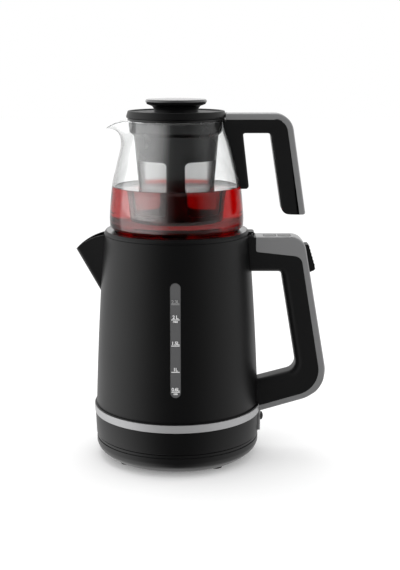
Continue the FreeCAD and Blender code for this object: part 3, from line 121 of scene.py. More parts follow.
scene.world = bpy.data.worlds.new("studio_white")
scene.world.use_nodes = True
tree = scene.world.node_tree
tree.nodes.clear()
direction = tree.nodes.new("ShaderNodeTexCoord")
heading = tree.nodes.new("ShaderNodeSeparateXYZ")
tree.links.new(direction.outputs["Generated"], heading.inputs[0])
ahead = math_step(tree, "MULTIPLY", heading.outputs["Y"], -1.0)
bearing = math_step(tree, "ARCTAN2", heading.outputs["X"], ahead)
turn_share = map_step(tree, bearing, -math.pi, math.pi)
rays = tree.nodes.new("ShaderNodeLightPath")
room = tree.nodes.new("ShaderNodeMix")
room.data_type = "RGBA"
sharp = math_step(tree, "MULTIPLY", rays.outputs["Is Singular Ray"], rays.outputs["Is Glossy Ray"])
tree.links.new(sharp, room.inputs["Factor"])
tree.links.new(wall_level(tree, turn_share, ROOM), room.inputs[MIX_A])
tree.links.new(wall_level(tree, turn_share, SILK), room.inputs[MIX_B])
white = tree.nodes.new("ShaderNodeBackground")
white.inputs["Color"].default_value = (1, 1, 1, 1)
mirrored = tree.nodes.new("ShaderNodeBackground")
ceiling = map_step(tree, heading.outputs["Z"], CEILING_START, CEILING_END, 1.0, CEILING_DIM)
tree.links.new(room.outputs[MIX_RESULT], mirrored.inputs["Color"])
tree.links.new(ceiling, mirrored.inputs["Strength"])
seen_by = tree.nodes.new("ShaderNodeMixShader")
tree.links.new(math_step(tree, "GREATER_THAN", rays.outputs["Glossy Depth"], 0.5), seen_by.inputs[0])
tree.links.new(white.outputs[0], seen_by.inputs[1])
tree.links.new(mirrored.outputs[0], seen_by.inputs[2])
world_out = tree.nodes.new("ShaderNodeOutputWorld")
tree.links.new(seen_by.outputs[0], world_out.inputs["Surface"])

# Overhead softbox: lifts the top faces a little and gives the soft shadow under
# the base. The room above already stands for what it looks like in reflections.
SOFTBOX_PLACE = (-0.1, 0.25, 1.30)
SOFTBOX_SIZE = (1.1, 0.9)
SOFTBOX_WATTS = 6.0
bpy.ops.object.light_add(type="AREA", location=SOFTBOX_PLACE)
lamp = bpy.context.object
lamp.name = "softbox_top"
lamp.rotation_euler = (aim - lamp.location).to_track_quat("-Z", "Y").to_euler()
lamp.data.shape = "RECTANGLE"
lamp.data.size, lamp.data.size_y = SOFTBOX_SIZE
lamp.data.energy = SOFTBOX_WATTS
lamp.visible_camera = False
lamp.visible_glossy = False

# Table top: a white sweep that is lit to white and keeps the soft shadow under
# the base. It is part of the studio and not of the tea maker.
FLOOR_R = 6.0
FLOOR_WHITE = (0.82, 0.82, 0.82, 1)
FLOOR_GLOW = 0.20
bpy.ops.mesh.primitive_circle_add(vertices=96, radius=FLOOR_R, fill_type="NGON", location=(AXIS_X, 0, 0))
floor = bpy.context.object
floor.name = "studio_floor"
floor.visible_glossy = False
floor_paint = bpy.data.materials.new("floor_white")
floor_paint.use_nodes = True
tree = floor_paint.node_tree
shader = tree.nodes["Principled BSDF"]
shader.inputs["Base Color"].default_value = FLOOR_WHITE
shader.inputs["Roughness"].default_value = 0.8
shader.inputs["Specular IOR Level"].default_value = 0.0
shader.inputs["Emission Color"].default_value = (1, 1, 1, 1)
rays = tree.nodes.new("ShaderNodeLightPath")
seen = math_step(tree, "MAXIMUM", rays.outputs["Is Camera Ray"], rays.outputs["Is Transmission Ray"])
tree.links.new(math_step(tree, "MULTIPLY", seen, FLOOR_GLOW), shader.inputs["Emission Strength"])
floor.data.materials.append(floor_paint)

# Power base dish: injection-moulded black plastic with a rounded belly, a thin
# shadow groove and a flat deck. Made by turning its section round the axis.
CLOUD_SCALE = 22.0
GRAIN_RELIEF = 0.0002
COAT_ROUGHNESS = 0.08
MOULD_GRAIN = bpy.data.node_groups.new("moulded_surface", "ShaderNodeTree")
for socket_name, socket_type, value in (
        ("Color", "NodeSocketColor", (0.02, 0.02, 0.02, 1)), ("Roughness", "NodeSocketFloat", 0.4),
        ("Mottle", "NodeSocketFloat", 0.1), ("Grain Scale", "NodeSocketFloat", 1500.0),
        ("Grain Depth", "NodeSocketFloat", 0.05)):
    socket = MOULD_GRAIN.interface.new_socket(socket_name, in_out="INPUT", socket_type=socket_type)
    socket.default_value = value
for socket_name, socket_type in (
        ("Color", "NodeSocketColor"), ("Roughness", "NodeSocketFloat"), ("Normal", "NodeSocketVector")):
    MOULD_GRAIN.interface.new_socket(socket_name, in_out="OUTPUT", socket_type=socket_type)
def noise_step(tree, scale, detail=2.0):
    """The level of a soft noise on object coordinates."""
    place = tree.nodes.new("ShaderNodeTexCoord")
    noise = tree.nodes.new("ShaderNodeTexNoise")
    noise.inputs["Detail"].default_value = detail
    feed(tree, noise.inputs["Scale"], scale)
    tree.links.new(place.outputs["Object"], noise.inputs["Vector"])
    return noise.outputs["Fac"]


entry = MOULD_GRAIN.nodes.new("NodeGroupInput")
leave = MOULD_GRAIN.nodes.new("NodeGroupOutput")
cloud = math_step(MOULD_GRAIN, "SUBTRACT", noise_step(MOULD_GRAIN, CLOUD_SCALE, 3.0), 0.5)
mottle = math_step(MOULD_GRAIN, "MULTIPLY", cloud, entry.outputs["Mottle"])
rough = math_step(MOULD_GRAIN, "ADD", mottle, entry.outputs["Roughness"])
tint = MOULD_GRAIN.nodes.new("ShaderNodeVectorMath")
tint.operation = "SCALE"
MOULD_GRAIN.links.new(entry.outputs["Color"], tint.inputs[0])
MOULD_GRAIN.links.new(math_step(MOULD_GRAIN, "ADD", mottle, 1.0), tint.inputs["Scale"])
bump = MOULD_GRAIN.nodes.new("ShaderNodeBump")
bump.inputs["Distance"].default_value = GRAIN_RELIEF
MOULD_GRAIN.links.new(noise_step(MOULD_GRAIN, entry.outputs["Grain Scale"]), bump.inputs["Height"])
MOULD_GRAIN.links.new(entry.outputs["Grain Depth"], bump.inputs["Strength"])
for socket_name, outcome in (("Color", tint.outputs[0]), ("Roughness", rough), ("Normal", bump.outputs["Normal"])):
    MOULD_GRAIN.links.new(outcome, leave.inputs[socket_name])


def moulded(name, color, roughness, mottle, scale, depth, specular=0.5, metallic=0.0, coat=0.0):
    """A material whose colour, roughness and fine grain come from the shared group."""
    material = bpy.data.materials.new(name)
    material.use_nodes = True
    tree = material.node_tree
    shader = tree.nodes["Principled BSDF"]
    grain = tree.nodes.new("ShaderNodeGroup")
    grain.node_tree = MOULD_GRAIN
    for socket_name, value in (("Color", (*color, 1)), ("Roughness", roughness), ("Mottle", mottle),
                               ("Grain Scale", scale), ("Grain Depth", depth)):
        grain.inputs[socket_name].default_value = value
    for outcome, socket_name in (("Color", "Base Color"), ("Roughness", "Roughness"), ("Normal", "Normal")):
        tree.links.new(grain.outputs[outcome], shader.inputs[socket_name])
    shader.inputs["Specular IOR Level"].default_value = specular
    shader.inputs["Metallic"].default_value = metallic
    shader.inputs["Coat Weight"].default_value = coat
    shader.inputs["Coat Roughness"].default_value = COAT_ROUGHNESS
    return material


def smooth_path(corners, steps=6):
    """The points of an outline, with each corner (x, z, radius) turned into an arc."""
    points = []
    count = len(corners)
    for index, corner in enumerate(corners):
        here = Vector(corner[:2])
        if len(corner) == 2:
            points.append(here)
            continue
        back = (Vector(corners[index - 1][:2]) - here).normalized()
        ahead = (Vector(corners[(index + 1) % count][:2]) - here).normalized()
        half = back.angle(ahead) / 2
        centre = here + (back + ahead).normalized() * (corner[2] / math.sin(half))
        first = here + back * (corner[2] / math.tan(half)) - centre
        sweep = math.pi - 2 * half
        side = 1 if first.x * (-back.y) - first.y * (-back.x) > 0 else -1
        for step in range(steps + 1):
            angle = side * sweep * step / steps
            cos, sin = math.cos(angle), math.sin(angle)
            points.append(centre + Vector((first.x * cos - first.y * sin, first.x * sin + first.y * cos)))
    return points


def start_point(name):
    """A new mesh object with a single vertex at the origin, in edit mode."""
    if bpy.context.object and bpy.context.object.mode == "EDIT":
        bpy.ops.object.mode_set(mode="OBJECT")
    bpy.ops.object.select_all(action="DESELECT")
    bpy.ops.mesh.primitive_plane_add(size=0.01, location=(0, 0, 0))
    piece = bpy.context.object
    piece.name = name
    bpy.ops.object.mode_set(mode="EDIT")
    bpy.ops.mesh.select_mode(type="VERT")
    bpy.ops.mesh.select_all(action="SELECT")
    bpy.ops.mesh.merge(type="CENTER")
    return piece


def draw_outline(points, y, close):
    """Moves the single vertex to the first point and extrudes it along the rest."""
    first = points[0]
    bpy.ops.transform.translate(value=(first.x, y, first.y))
    path = points[1:] + ([first] if close else [])
    last = first
    for point in path:
        step = (point.x - last.x, 0, point.y - last.y)
        bpy.ops.mesh.extrude_region_move(TRANSFORM_OT_translate={"value": step})
        last = point


def close_mesh(merge=1e-6):
    """Merges doubles, turns the faces outwards and leaves edit mode."""
    bpy.ops.mesh.select_all(action="SELECT")
    bpy.ops.mesh.remove_doubles(threshold=merge)
    bpy.ops.mesh.normals_make_consistent(inside=False)
    bpy.ops.object.mode_set(mode="OBJECT")


def turned(name, corners, turns=160, steps=6, close=True):
    """A turned piece: its section is drawn from the axis out and spun once round the kettle's axis."""
    points = [Vector((max(p.x, 0.0) + AXIS_X, p.y)) for p in smooth_path(corners, steps)]
    piece = start_point(name)
    draw_outline(points, 0, close)
    bpy.ops.mesh.select_all(action="SELECT")
    bpy.ops.mesh.spin(steps=turns, angle=math.tau, center=(AXIS_X, 0, 0), axis=(0, 0, 1))
    close_mesh()
    return piece


def pick(piece):
    """Selects one piece alone and makes it the active one."""
    bpy.ops.object.select_all(action="DESELECT")
    piece.select_set(True)
    bpy.context.view_layer.objects.active = piece


def finish_piece(piece, material, body, angle=35, replaces=()):
    """Smooth shading, material, body and the nodes that the piece stands for."""
    pick(piece)
    bpy.ops.object.shade_smooth_by_angle(angle=math.radians(angle))
    piece.data.materials.clear()
    piece.data.materials.append(material)
    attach(piece, body)
    if replaces:
        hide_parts(*replaces)


BASE_BLACK = moulded("base_black_plastic", (0.006, 0.006, 0.0063), 0.36, 0.10, 1800, 0.05, specular=0.35)
base_dish = turned("base_dish", [
    (0.0716, 0.0027), (0.0736, 0.0025, 0.0006), (0.0768, 0.0046, 0.006), (0.0832, 0.0100, 0.010),
    (0.0852, 0.0150, 0.006), (0.0852, 0.0202, 0.0003), (0.0842, 0.0204), (0.0842, 0.0210),
    (0.0847, 0.0211, 0.0002), (0.0846, 0.0236, 0.0006), (0.0822, 0.0236, 0.0005), (0.0802, 0.0215, 0.001),
    (0.0211, 0.0215), (0.0211, 0.0193), (0.0818, 0.0193), (0.0818, 0.0140), (0.0716, 0.0048),
])
GLAND_Y = 0.085
GLAND_Z = 0.0112
GLAND_HOLE_R = 0.0053
BORE_DEPTH = 0.03


def cut_away(piece, tool, operation="DIFFERENCE"):
    """Takes the tool's volume out of the piece, or keeps only that, and throws the tool away."""
    modifier = piece.modifiers.new("cut", "BOOLEAN")
    modifier.operation = operation
    modifier.solver = "EXACT"
    modifier.object = tool
    pick(piece)
    bpy.ops.object.modifier_apply(modifier=modifier.name)
    bpy.data.objects.remove(tool)


def bore(piece, radius, place, rotation):
    """Drills a round hole through one wall of the piece."""
    bpy.ops.object.select_all(action="DESELECT")
    bpy.ops.mesh.primitive_cylinder_add(vertices=40, radius=radius, depth=BORE_DEPTH, location=place,
                                        rotation=rotation)
    cut_away(piece, bpy.context.object)


bore(base_dish, GLAND_HOLE_R, (AXIS_X, GLAND_Y, GLAND_Z), (math.pi / 2, 0, 0))
finish_piece(base_dish, BASE_BLACK, "power_base", replaces=("base_shell",))

# Underside of the base: closing plate, rubber feet, zinc screws, connector tower
# and the grommet for a lead. They keep their own shapes and get their finishes.
RUBBER = moulded("foot_rubber", (0.012, 0.012, 0.012), 0.75, 0.2, 900, 0.3, specular=0.3)
CONNECTOR = moulded("connector_plastic", (0.03, 0.03, 0.032), 0.3, 0.08, 1500, 0.03)
ZINC = moulded("zinc_screw", (0.55, 0.55, 0.56), 0.35, 0.15, 2500, 0.1, metallic=1.0)


def coat_nodes(material, *names):
    """Gives CAD nodes their finish."""
    for name in names:
        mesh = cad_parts[name].data
        mesh.materials.clear()
        mesh.materials.append(material)


coat_nodes(RUBBER, "base_feet", "cord_gland")
coat_nodes(BASE_BLACK, "base_underplate", "kettle_underplate")
coat_nodes(CONNECTOR, "base_socket", "kettle_coupler", "thermostat")
coat_nodes(ZINC, "base_screws", "hinge_pin")

# Kettle skirt: the black moulding that carries the heater and the switch. A tall
# plain band, a groove for the metal ring, and a fine lip above it.
BODY_BLACK = moulded("body_matt_black", (0.0036, 0.0036, 0.0038), 0.40, 0.10, 2200, 0.045, specular=0.30)
skirt = turned("skirt_band", [
    (0.0831, 0.0245), (0.0855, 0.0243, 0.0008), (0.0865, 0.0475, 0.0003), (0.0849, 0.0476),
    (0.0849, 0.0558), (0.0867, 0.0559, 0.0003), (0.0866, 0.0571, 0.0005), (0.0831, 0.0572),
])


def slab(name, corners, y0, y1, steps=6):
    """A plate: an outline in side view, filled and extruded across."""
    points = [Vector((p.x + AXIS_X, p.y)) for p in smooth_path(corners, steps)]
    piece = start_point(name)
    draw_outline(points, y0, True)
    bpy.ops.mesh.select_all(action="SELECT")
    bpy.ops.mesh.remove_doubles(threshold=1e-7)
    bpy.ops.mesh.edge_face_add()
    bpy.ops.mesh.extrude_region_move(TRANSFORM_OT_translate={"value": (0, y1 - y0, 0)})
    close_mesh(1e-7)
    return piece


PLATE_ROOM = 0.0002
NOTCH_OUT_X = 0.095
BUTTON_X = 0.085
BUTTON_PLAY = 0.0005
plate_low, plate_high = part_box("control_plate")
NOTCH_IN_X = plate_low.x - AXIS_X - PLATE_ROOM
NOTCH_OUTLINE = [
    (NOTCH_IN_X, plate_low.z - PLATE_ROOM), (NOTCH_OUT_X, plate_low.z - PLATE_ROOM),
    (NOTCH_OUT_X, plate_high.z + PLATE_ROOM), (NOTCH_IN_X, plate_high.z + PLATE_ROOM),
]
NOTCH_SPAN = (plate_low.y - PLATE_ROOM, plate_high.y + PLATE_ROOM)
button_low, button_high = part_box("power_button")
BUTTON_Z = (button_low.z + button_high.z) / 2
BUTTON_HOLE_R = (button_high.z - button_low.z) / 2 + BUTTON_PLAY
cut_away(skirt, slab("skirt_notch", NOTCH_OUTLINE, *NOTCH_SPAN))
bore(skirt, BUTTON_HOLE_R, (AXIS_X + BUTTON_X, 0, BUTTON_Z), (0, math.pi / 2, 0))
finish_piece(skirt, BODY_BLACK, "kettle", replaces=("skirt",))

# Silver ring: a rolled satin aluminium band pressed into the skirt's groove, open
# at the back where the switch plate sits.
BRUSHED = moulded("ring_satin_silver", (0.44, 0.44, 0.445), 0.38, 0.10, 1400, 0.05, metallic=0.35)
ring_piece = turned("silver_ring", [
    (0.0850, 0.0477), (0.0869, 0.0477, 0.0004), (0.0874, 0.0557, 0.0004), (0.0850, 0.0557),
])
cut_away(ring_piece, slab("ring_notch", NOTCH_OUTLINE, *NOTCH_SPAN))
finish_piece(ring_piece, BRUSHED, "kettle", replaces=("trim_ring",))

# Kettle shell: blow-smooth matt black wall that narrows to the rim, with the
# stadium slot for the water window and the opening behind the spout.
SHELL_PROFILE = [(0.0850, 0.0572), (0.0810, 0.1420), (0.0744, 0.2346)]
SHELL_RIM_Z = SHELL_PROFILE[-1][1]
RIM_ROUND = 0.0006
SIDE_STEPS = 26
WALL = 0.0020
WINDOW_HALF = 0.0052
WINDOW_Z0, WINDOW_Z1 = 0.0835, 0.1977
WINDOW_ROUND = WINDOW_HALF * 0.999
WINDOW_SPAN = (-0.095, -0.060)
WINDOW_OUTLINE = [
    (-WINDOW_HALF, WINDOW_Z0, WINDOW_ROUND), (WINDOW_HALF, WINDOW_Z0, WINDOW_ROUND),
    (WINDOW_HALF, WINDOW_Z1, WINDOW_ROUND), (-WINDOW_HALF, WINDOW_Z1, WINDOW_ROUND),
]


def through_three(points, count):
    """Points on the circle arc through three (radius, height) points."""
    (ax, ay), (bx, by), (cx, cy) = points
    d = 2 * (ax * (by - cy) + bx * (cy - ay) + cx * (ay - by))
    ux = ((ax * ax + ay * ay) * (by - cy) + (bx * bx + by * by) * (cy - ay) + (cx * cx + cy * cy) * (ay - by)) / d
    uy = ((ax * ax + ay * ay) * (cx - bx) + (bx * bx + by * by) * (ax - cx) + (cx * cx + cy * cy) * (bx - ax)) / d
    first = math.atan2(ay - uy, ax - ux)
    last = math.atan2(cy - uy, cx - ux)
    radius = math.hypot(ax - ux, ay - uy)
    return [(ux + radius * math.cos(first + (last - first) * i / count),
             uy + radius * math.sin(first + (last - first) * i / count)) for i in range(count + 1)]


def shell_radius(z, inset=0.0):
    """The kettle's outer radius at a height, less an inset."""
    points = through_three(SHELL_PROFILE, 60)
    for (r0, z0), (r1, z1) in zip(points, points[1:]):
        if z <= z1:
            return r0 + (r1 - r0) * (z - z0) / (z1 - z0) - inset
    return points[-1][0] - inset


outer_wall = through_three(SHELL_PROFILE, SIDE_STEPS)
inner_wall = [(r - WALL, z) for r, z in reversed(outer_wall)]
outer_wall[-1] = (outer_wall[-1][0], SHELL_RIM_Z, RIM_ROUND)
inner_wall[0] = (inner_wall[0][0], SHELL_RIM_Z, RIM_ROUND)
shell = turned("kettle_wall", outer_wall + inner_wall, turns=192, steps=3)
cut_away(shell, slab("slot_tool", WINDOW_OUTLINE, *WINDOW_SPAN, steps=10))

# Spout: a V-shaped beak with a rounded nose, moulded in one with the shell and
# open at the top, so its pouring edge rises in a shallow curve to the rim. Its low
# and high outlines are given as height, nose, half width at the root and nose radius.
SPOUT_LOW = (0.172, -0.0776, 0.0050, 0.0030)
SPOUT_HIGH = (0.242, -0.1166, 0.0190, 0.0065)
SPOUT_ROOT_X = -0.060
SPOUT_EDGE = [(-0.1040, 0.2182), (-0.0950, 0.2260), (-0.0744, 0.2346)]
SPOUT_SINK = 0.0008
FLANK_STEPS, NOSE_STEPS = 6, 12
NOSE_WALL = 1.15
EDGE_TOOL_FAR_X, EDGE_TOOL_NEAR_X = -0.1280, -0.0550
EDGE_TOOL_LOW_Z, EDGE_TOOL_TOP_Z = 0.1966, 0.2500
EDGE_TOOL_HALF = 0.04
TOOL_TURNS = 128


def beak_ring(section, inset):
    """Points along a V with a round nose, from one root to the other."""
    z, nose_x, half, nose_r = section
    nose_x, half, nose_r = nose_x + inset * NOSE_WALL, half - inset, nose_r - inset / 2
    centre_x = nose_x + nose_r
    reach = math.hypot(SPOUT_ROOT_X - centre_x, half)
    side = math.atan2(half, SPOUT_ROOT_X - centre_x) + math.acos(nose_r / reach)
    edge = Vector((centre_x + nose_r * math.cos(side), nose_r * math.sin(side), z))
    flank = [Vector((SPOUT_ROOT_X, half, z)).lerp(edge, step / FLANK_STEPS) for step in range(FLANK_STEPS)]
    nose = []
    for step in range(NOSE_STEPS + 1):
        angle = side + (math.tau - 2 * side) * step / NOSE_STEPS
        nose.append(Vector((centre_x + nose_r * math.cos(angle), nose_r * math.sin(angle), z)))
    return flank + nose + [Vector((p.x, -p.y, p.z)) for p in reversed(flank)]


def beak_block(name, inset):
    """The beak filled solid: its low outline is drawn, filled, raised and spread to the high one."""
    low = beak_ring(SPOUT_LOW, inset)
    high = beak_ring(SPOUT_HIGH, inset)
    piece = start_point(name)
    bpy.ops.transform.translate(value=low[0] + Vector((AXIS_X, 0, 0)))
    for point, last in zip(low[1:] + low[:1], low):
        bpy.ops.mesh.extrude_region_move(TRANSFORM_OT_translate={"value": point - last})
    bpy.ops.mesh.select_all(action="SELECT")
    bpy.ops.mesh.remove_doubles(threshold=1e-6)
    bpy.ops.mesh.edge_face_add()
    bpy.ops.mesh.extrude_region_move(TRANSFORM_OT_translate={"value": (0, 0, SPOUT_HIGH[0] - SPOUT_LOW[0])})
    bpy.ops.object.mode_set(mode="OBJECT")
    middle = (SPOUT_LOW[0] + SPOUT_HIGH[0]) / 2
    for vertex in piece.data.vertices:
        if vertex.co.z > middle:
            near = min(range(len(low)), key=lambda i: math.hypot(
                low[i].x + AXIS_X - vertex.co.x, low[i].y - vertex.co.y))
            vertex.co = high[near] + Vector((AXIS_X, 0, 0))
    bpy.ops.object.mode_set(mode="EDIT")
    close_mesh()
    return piece


spout = beak_block("spout_beak", 0)
cut_away(spout, beak_block("beak_room", WALL))
cut_away(shell, beak_block("beak_mouth", WALL))
edge_tool = slab("edge_tool", [(EDGE_TOOL_FAR_X, EDGE_TOOL_LOW_Z)] + through_three(SPOUT_EDGE, 24) + [
    (EDGE_TOOL_NEAR_X, SPOUT_EDGE[-1][1]), (EDGE_TOOL_NEAR_X, EDGE_TOOL_TOP_Z),
    (EDGE_TOOL_FAR_X, EDGE_TOOL_TOP_Z),
], -EDGE_TOOL_HALF, EDGE_TOOL_HALF)
cut_away(spout, edge_tool)


def barrel(name, inset):
    """A solid with the kettle's side, moved in by an inset."""
    side = [(r - inset, z) for r, z in through_three(SHELL_PROFILE, SIDE_STEPS)]
    return turned(name, [(0, SHELL_PROFILE[0][1])] + side + [(0, SHELL_RIM_Z)], turns=TOOL_TURNS)


cut_away(spout, barrel("spout_tool", SPOUT_SINK))
finish_piece(shell, BODY_BLACK, "kettle", angle=30, replaces=("kettle_shell",))
finish_piece(spout, BODY_BLACK, "kettle", angle=40)

# Water window: a smoked clear strip snapped into the slot, with white volume
# marks printed on it. The marks are plain numbers with a line under each.
SMOKED = moulded("smoked_window", (0.105, 0.105, 0.107), 0.24, 0.25, 600, 0.02, specular=0.4, coat=0.2)
PRINT_WHITE = moulded("print_white", (0.80, 0.80, 0.80), 0.5, 0.05, 3000, 0.02)
PRINT_FAINT = moulded("print_faint", (0.28, 0.28, 0.28), 0.5, 0.05, 3000, 0.02)
LENS_HEIGHTS = (0.080, 0.110, 0.140, 0.170, 0.202)
LENS_OUT, LENS_IN = 0.0004, 0.0019
lens_out = [(shell_radius(z, LENS_OUT), z) for z in LENS_HEIGHTS]
lens_in = [(shell_radius(z, LENS_IN), z) for z in LENS_HEIGHTS[::2]]
lens = turned("window_lens", lens_in[:1] + lens_out + lens_in[:0:-1], turns=480)
cut_away(lens, slab("lens_keep", WINDOW_OUTLINE, *WINDOW_SPAN, steps=10), "INTERSECT")
finish_piece(lens, SMOKED, "kettle", replaces=("water_window",))
GAUGE = [
    ("2.3L", 0.1766, None, PRINT_FAINT), ("2 L", 0.1616, "max", PRINT_WHITE), ("1.5L", 0.1357, None, PRINT_WHITE),
    ("1L", 0.1095, None, PRINT_WHITE), ("0.6L", 0.0894, "min", PRINT_WHITE),
]
DIGIT_SIZE = 0.0050
DIGIT_RISE = 0.0010
WORD_SIZE = DIGIT_SIZE * 0.60
WORD_DROP = 0.0027
LETTER_RELIEF = 0.00012
LETTER_WEIGHT = 0.00010
LETTER_PITCH = 0.92
LEAN_STEP = 0.005
MARK_HALF = 0.0041
MARK_THICK = 0.00035
MARK_OUT, MARK_IN = 0.00025, 0.0010


def print_text(name, words, size, z, material):
    """A line of plain lettering, lying on the window and centred on it."""
    bpy.ops.object.select_all(action="DESELECT")
    bpy.ops.object.text_add(location=(0, 0, 0))
    label = bpy.context.object
    label.data.body = words
    label.data.size = size
    label.data.align_x = "CENTER"
    label.data.extrude = LETTER_RELIEF
    label.data.offset = LETTER_WEIGHT
    label.data.space_character = LETTER_PITCH
    bpy.ops.object.convert(target="MESH")
    label = bpy.context.object
    label.name = name
    lean = math.atan2(shell_radius(z - LEAN_STEP) - shell_radius(z + LEAN_STEP), 2 * LEAN_STEP)
    label.rotation_euler = (math.pi / 2 + lean, 0, 0)
    label.location = (AXIS_X, -shell_radius(z, LENS_OUT), z)
    bpy.ops.object.transform_apply(location=True, rotation=True, scale=True)
    finish_piece(label, material, "kettle", angle=20)


for index, (words, z, under, material) in enumerate(GAUGE):
    print_text(f"gauge_number_{index}", words, DIGIT_SIZE, z + DIGIT_RISE, material)
    bar = slab(f"gauge_line_{index}", [
        (-MARK_HALF, z - MARK_THICK), (MARK_HALF, z - MARK_THICK),
        (MARK_HALF, z + MARK_THICK), (-MARK_HALF, z + MARK_THICK),
    ], -shell_radius(z, MARK_OUT), -shell_radius(z, MARK_IN))
    finish_piece(bar, material, "kettle", angle=20)
    if under:
        print_text(f"gauge_word_{index}", under, WORD_SIZE, z - WORD_DROP, material)

# Kettle handle, inner half: one black soft-touch moulding round the finger gap.
# It stands off the shell on two arms and carries the hinge ears at the rim.
HANDLE_HALF = 0.0150
HANDLE_TOP_Z = 0.2325
ARM_LOW_Z = 0.1961
ARM_SPLIT_Z = 0.2124
BACK_TOP = (0.1303, HANDLE_TOP_Z)
BACK_LOW = (0.1590, 0.0690)
LOW_FRONT = (0.0883, 0.0484)
STRIP = 0.0061
STRIP_CORNER = STRIP * 1.28
ROOT_X = 0.0700
COVER_ROOT_X = 0.0812
LOW_ROOT_X = 0.0800
SOFT_BLACK = moulded("grip_soft_black", (0.0075, 0.0075, 0.0078), 0.42, 0.10, 1600, 0.05, specular=0.40)
LOW_SLOPE = (BACK_LOW[1] - LOW_FRONT[1]) / (BACK_LOW[0] - LOW_FRONT[0])
LOW_RISE = STRIP * math.hypot(1, LOW_SLOPE)


def back_x(z):
    """The handle's straight back edge at a height."""
    return BACK_TOP[0] + (BACK_LOW[0] - BACK_TOP[0]) * (HANDLE_TOP_Z - z) / (HANDLE_TOP_Z - BACK_LOW[1])


def low_z(x):
    """The height of the handle's straight low edge at a distance from the axis."""
    return LOW_FRONT[1] + (x - LOW_FRONT[0]) * LOW_SLOPE


split_line = [
    (COVER_ROOT_X, 0.2176, 0.0025), (back_x(ARM_SPLIT_Z) - STRIP, ARM_SPLIT_Z, 0.0090),
    (BACK_LOW[0] - STRIP_CORNER, low_z(BACK_LOW[0] - STRIP_CORNER) + LOW_RISE, 0.0269),
    (LOW_ROOT_X, low_z(LOW_ROOT_X) + LOW_RISE),
]
grip = slab("handle_grip_skin", [(ROOT_X, HANDLE_TOP_Z), (COVER_ROOT_X, HANDLE_TOP_Z)] + split_line + [
    (0.0740, 0.0785), (0.1250, 0.0921, 0.011), (0.1074, ARM_LOW_Z, 0.0035), (ROOT_X, ARM_LOW_Z),
], -HANDLE_HALF, HANDLE_HALF, steps=12)
FINGER_GAP_X = (0.0745, 0.1255)
FINGER_GAP_Z = (0.0750, 0.1965)
SAME_PLACE = 0.0001
GRIP_SINK = 0.0010


def bevel_edges(piece, width, segments, chosen, angle=0.35):
    """Rounds the sharp edges whose middle the test picks."""
    pick(piece)
    bpy.ops.object.mode_set(mode="EDIT")
    bpy.ops.mesh.select_mode(type="EDGE")
    bpy.ops.mesh.select_all(action="DESELECT")
    bm = bmesh.from_edit_mesh(piece.data)
    for edge in bm.edges:
        if len(edge.link_faces) != 2 or edge.calc_face_angle() < angle:
            continue
        middle = (edge.verts[0].co + edge.verts[1].co) / 2
        edge.select = chosen(Vector((middle.x - AXIS_X, middle.y, middle.z)))
    bmesh.update_edit_mesh(piece.data)
    bpy.ops.mesh.bevel(offset=width, segments=segments, affect="EDGES", clamp_overlap=False)
    bpy.ops.object.mode_set(mode="OBJECT")


def on_side(point, half):
    """Whether a point lies on one of the two side faces."""
    return abs(abs(point.y) - half) < SAME_PLACE


def beside_finger_gap(point):
    """Whether a point lies on the side faces, round the finger gap."""
    across = FINGER_GAP_X[0] <= point.x < FINGER_GAP_X[1]
    return on_side(point, HANDLE_HALF) and across and FINGER_GAP_Z[0] < point.z < FINGER_GAP_Z[1]


bevel_edges(grip, 0.0085, 9, beside_finger_gap)
cut_away(grip, barrel("grip_tool", GRIP_SINK))

# Kettle handle, outer half: a satin grey cover over the arm that runs down the
# back as a strip. Two flush keys and the thumb wedge sit in openings in it.
SATIN_GREY = moulded("cover_satin_grey", (0.30, 0.30, 0.303), 0.34, 0.08, 2600, 0.06, specular=0.6,
                     metallic=0.40, coat=0.30)
KEY_GREY = moulded("key_dark_grey", (0.15, 0.15, 0.152), 0.34, 0.08, 2600, 0.05, specular=0.5, metallic=0.2)
TOP_BAND = 0.012
COVER_GAP = 0.0006
KEYS = {"brew_key": 0.0955, "boil_key": 0.1105}
KEY_HALF_X, KEY_HALF_Y = 0.00625, 0.0075
KEY_GAP = 0.0003
KEY_ROUND, KEY_WELL_ROUND = 0.0020, 0.0023
KEY_DEPTH, KEY_WELL_DEPTH = 0.0028, 0.0048
KEY_PROUD = 0.0002
TOOL_OVER = 0.001
LEVER_POCKET = [(0.1205, 0.2264), (0.1440, 0.2264), (0.1507, 0.1922), (0.1268, 0.1922)]
LEVER_POCKET_HALF = 0.0083
cover = slab("handle_cover_skin", [
    (COVER_ROOT_X, HANDLE_TOP_Z), (*BACK_TOP, 0.015), (*BACK_LOW, 0.033), (LOW_ROOT_X, low_z(LOW_ROOT_X)),
] + list(reversed(split_line)), -HANDLE_HALF, HANDLE_HALF, steps=14)


def cover_outside(point):
    """Whether a point lies on the side faces, along the cover's outer edge."""
    low_line = point.z < low_z(point.x) + STRIP / 2
    behind = point.x > back_x(point.z) - STRIP / 2
    on_top = point.z > HANDLE_TOP_Z - TOP_BAND
    return on_side(point, HANDLE_HALF) and point.x > COVER_ROOT_X + SAME_PLACE and (low_line or behind or on_top)


def key_block(name, x, grow, z0, z1, corner):
    """A bar with rounded corners in plan."""
    middle = (z0 + z1) / 2
    bpy.ops.object.select_all(action="DESELECT")
    bpy.ops.mesh.primitive_cube_add(size=1, location=(x + AXIS_X, 0, middle))
    piece = bpy.context.object
    piece.name = name
    piece.scale = ((KEY_HALF_X + grow) * 2, (KEY_HALF_Y + grow) * 2, z1 - z0)
    bpy.ops.object.transform_apply(location=True, rotation=True, scale=True)
    bevel_edges(piece, corner, 6, lambda point: abs(point.z - middle) < SAME_PLACE)
    return piece


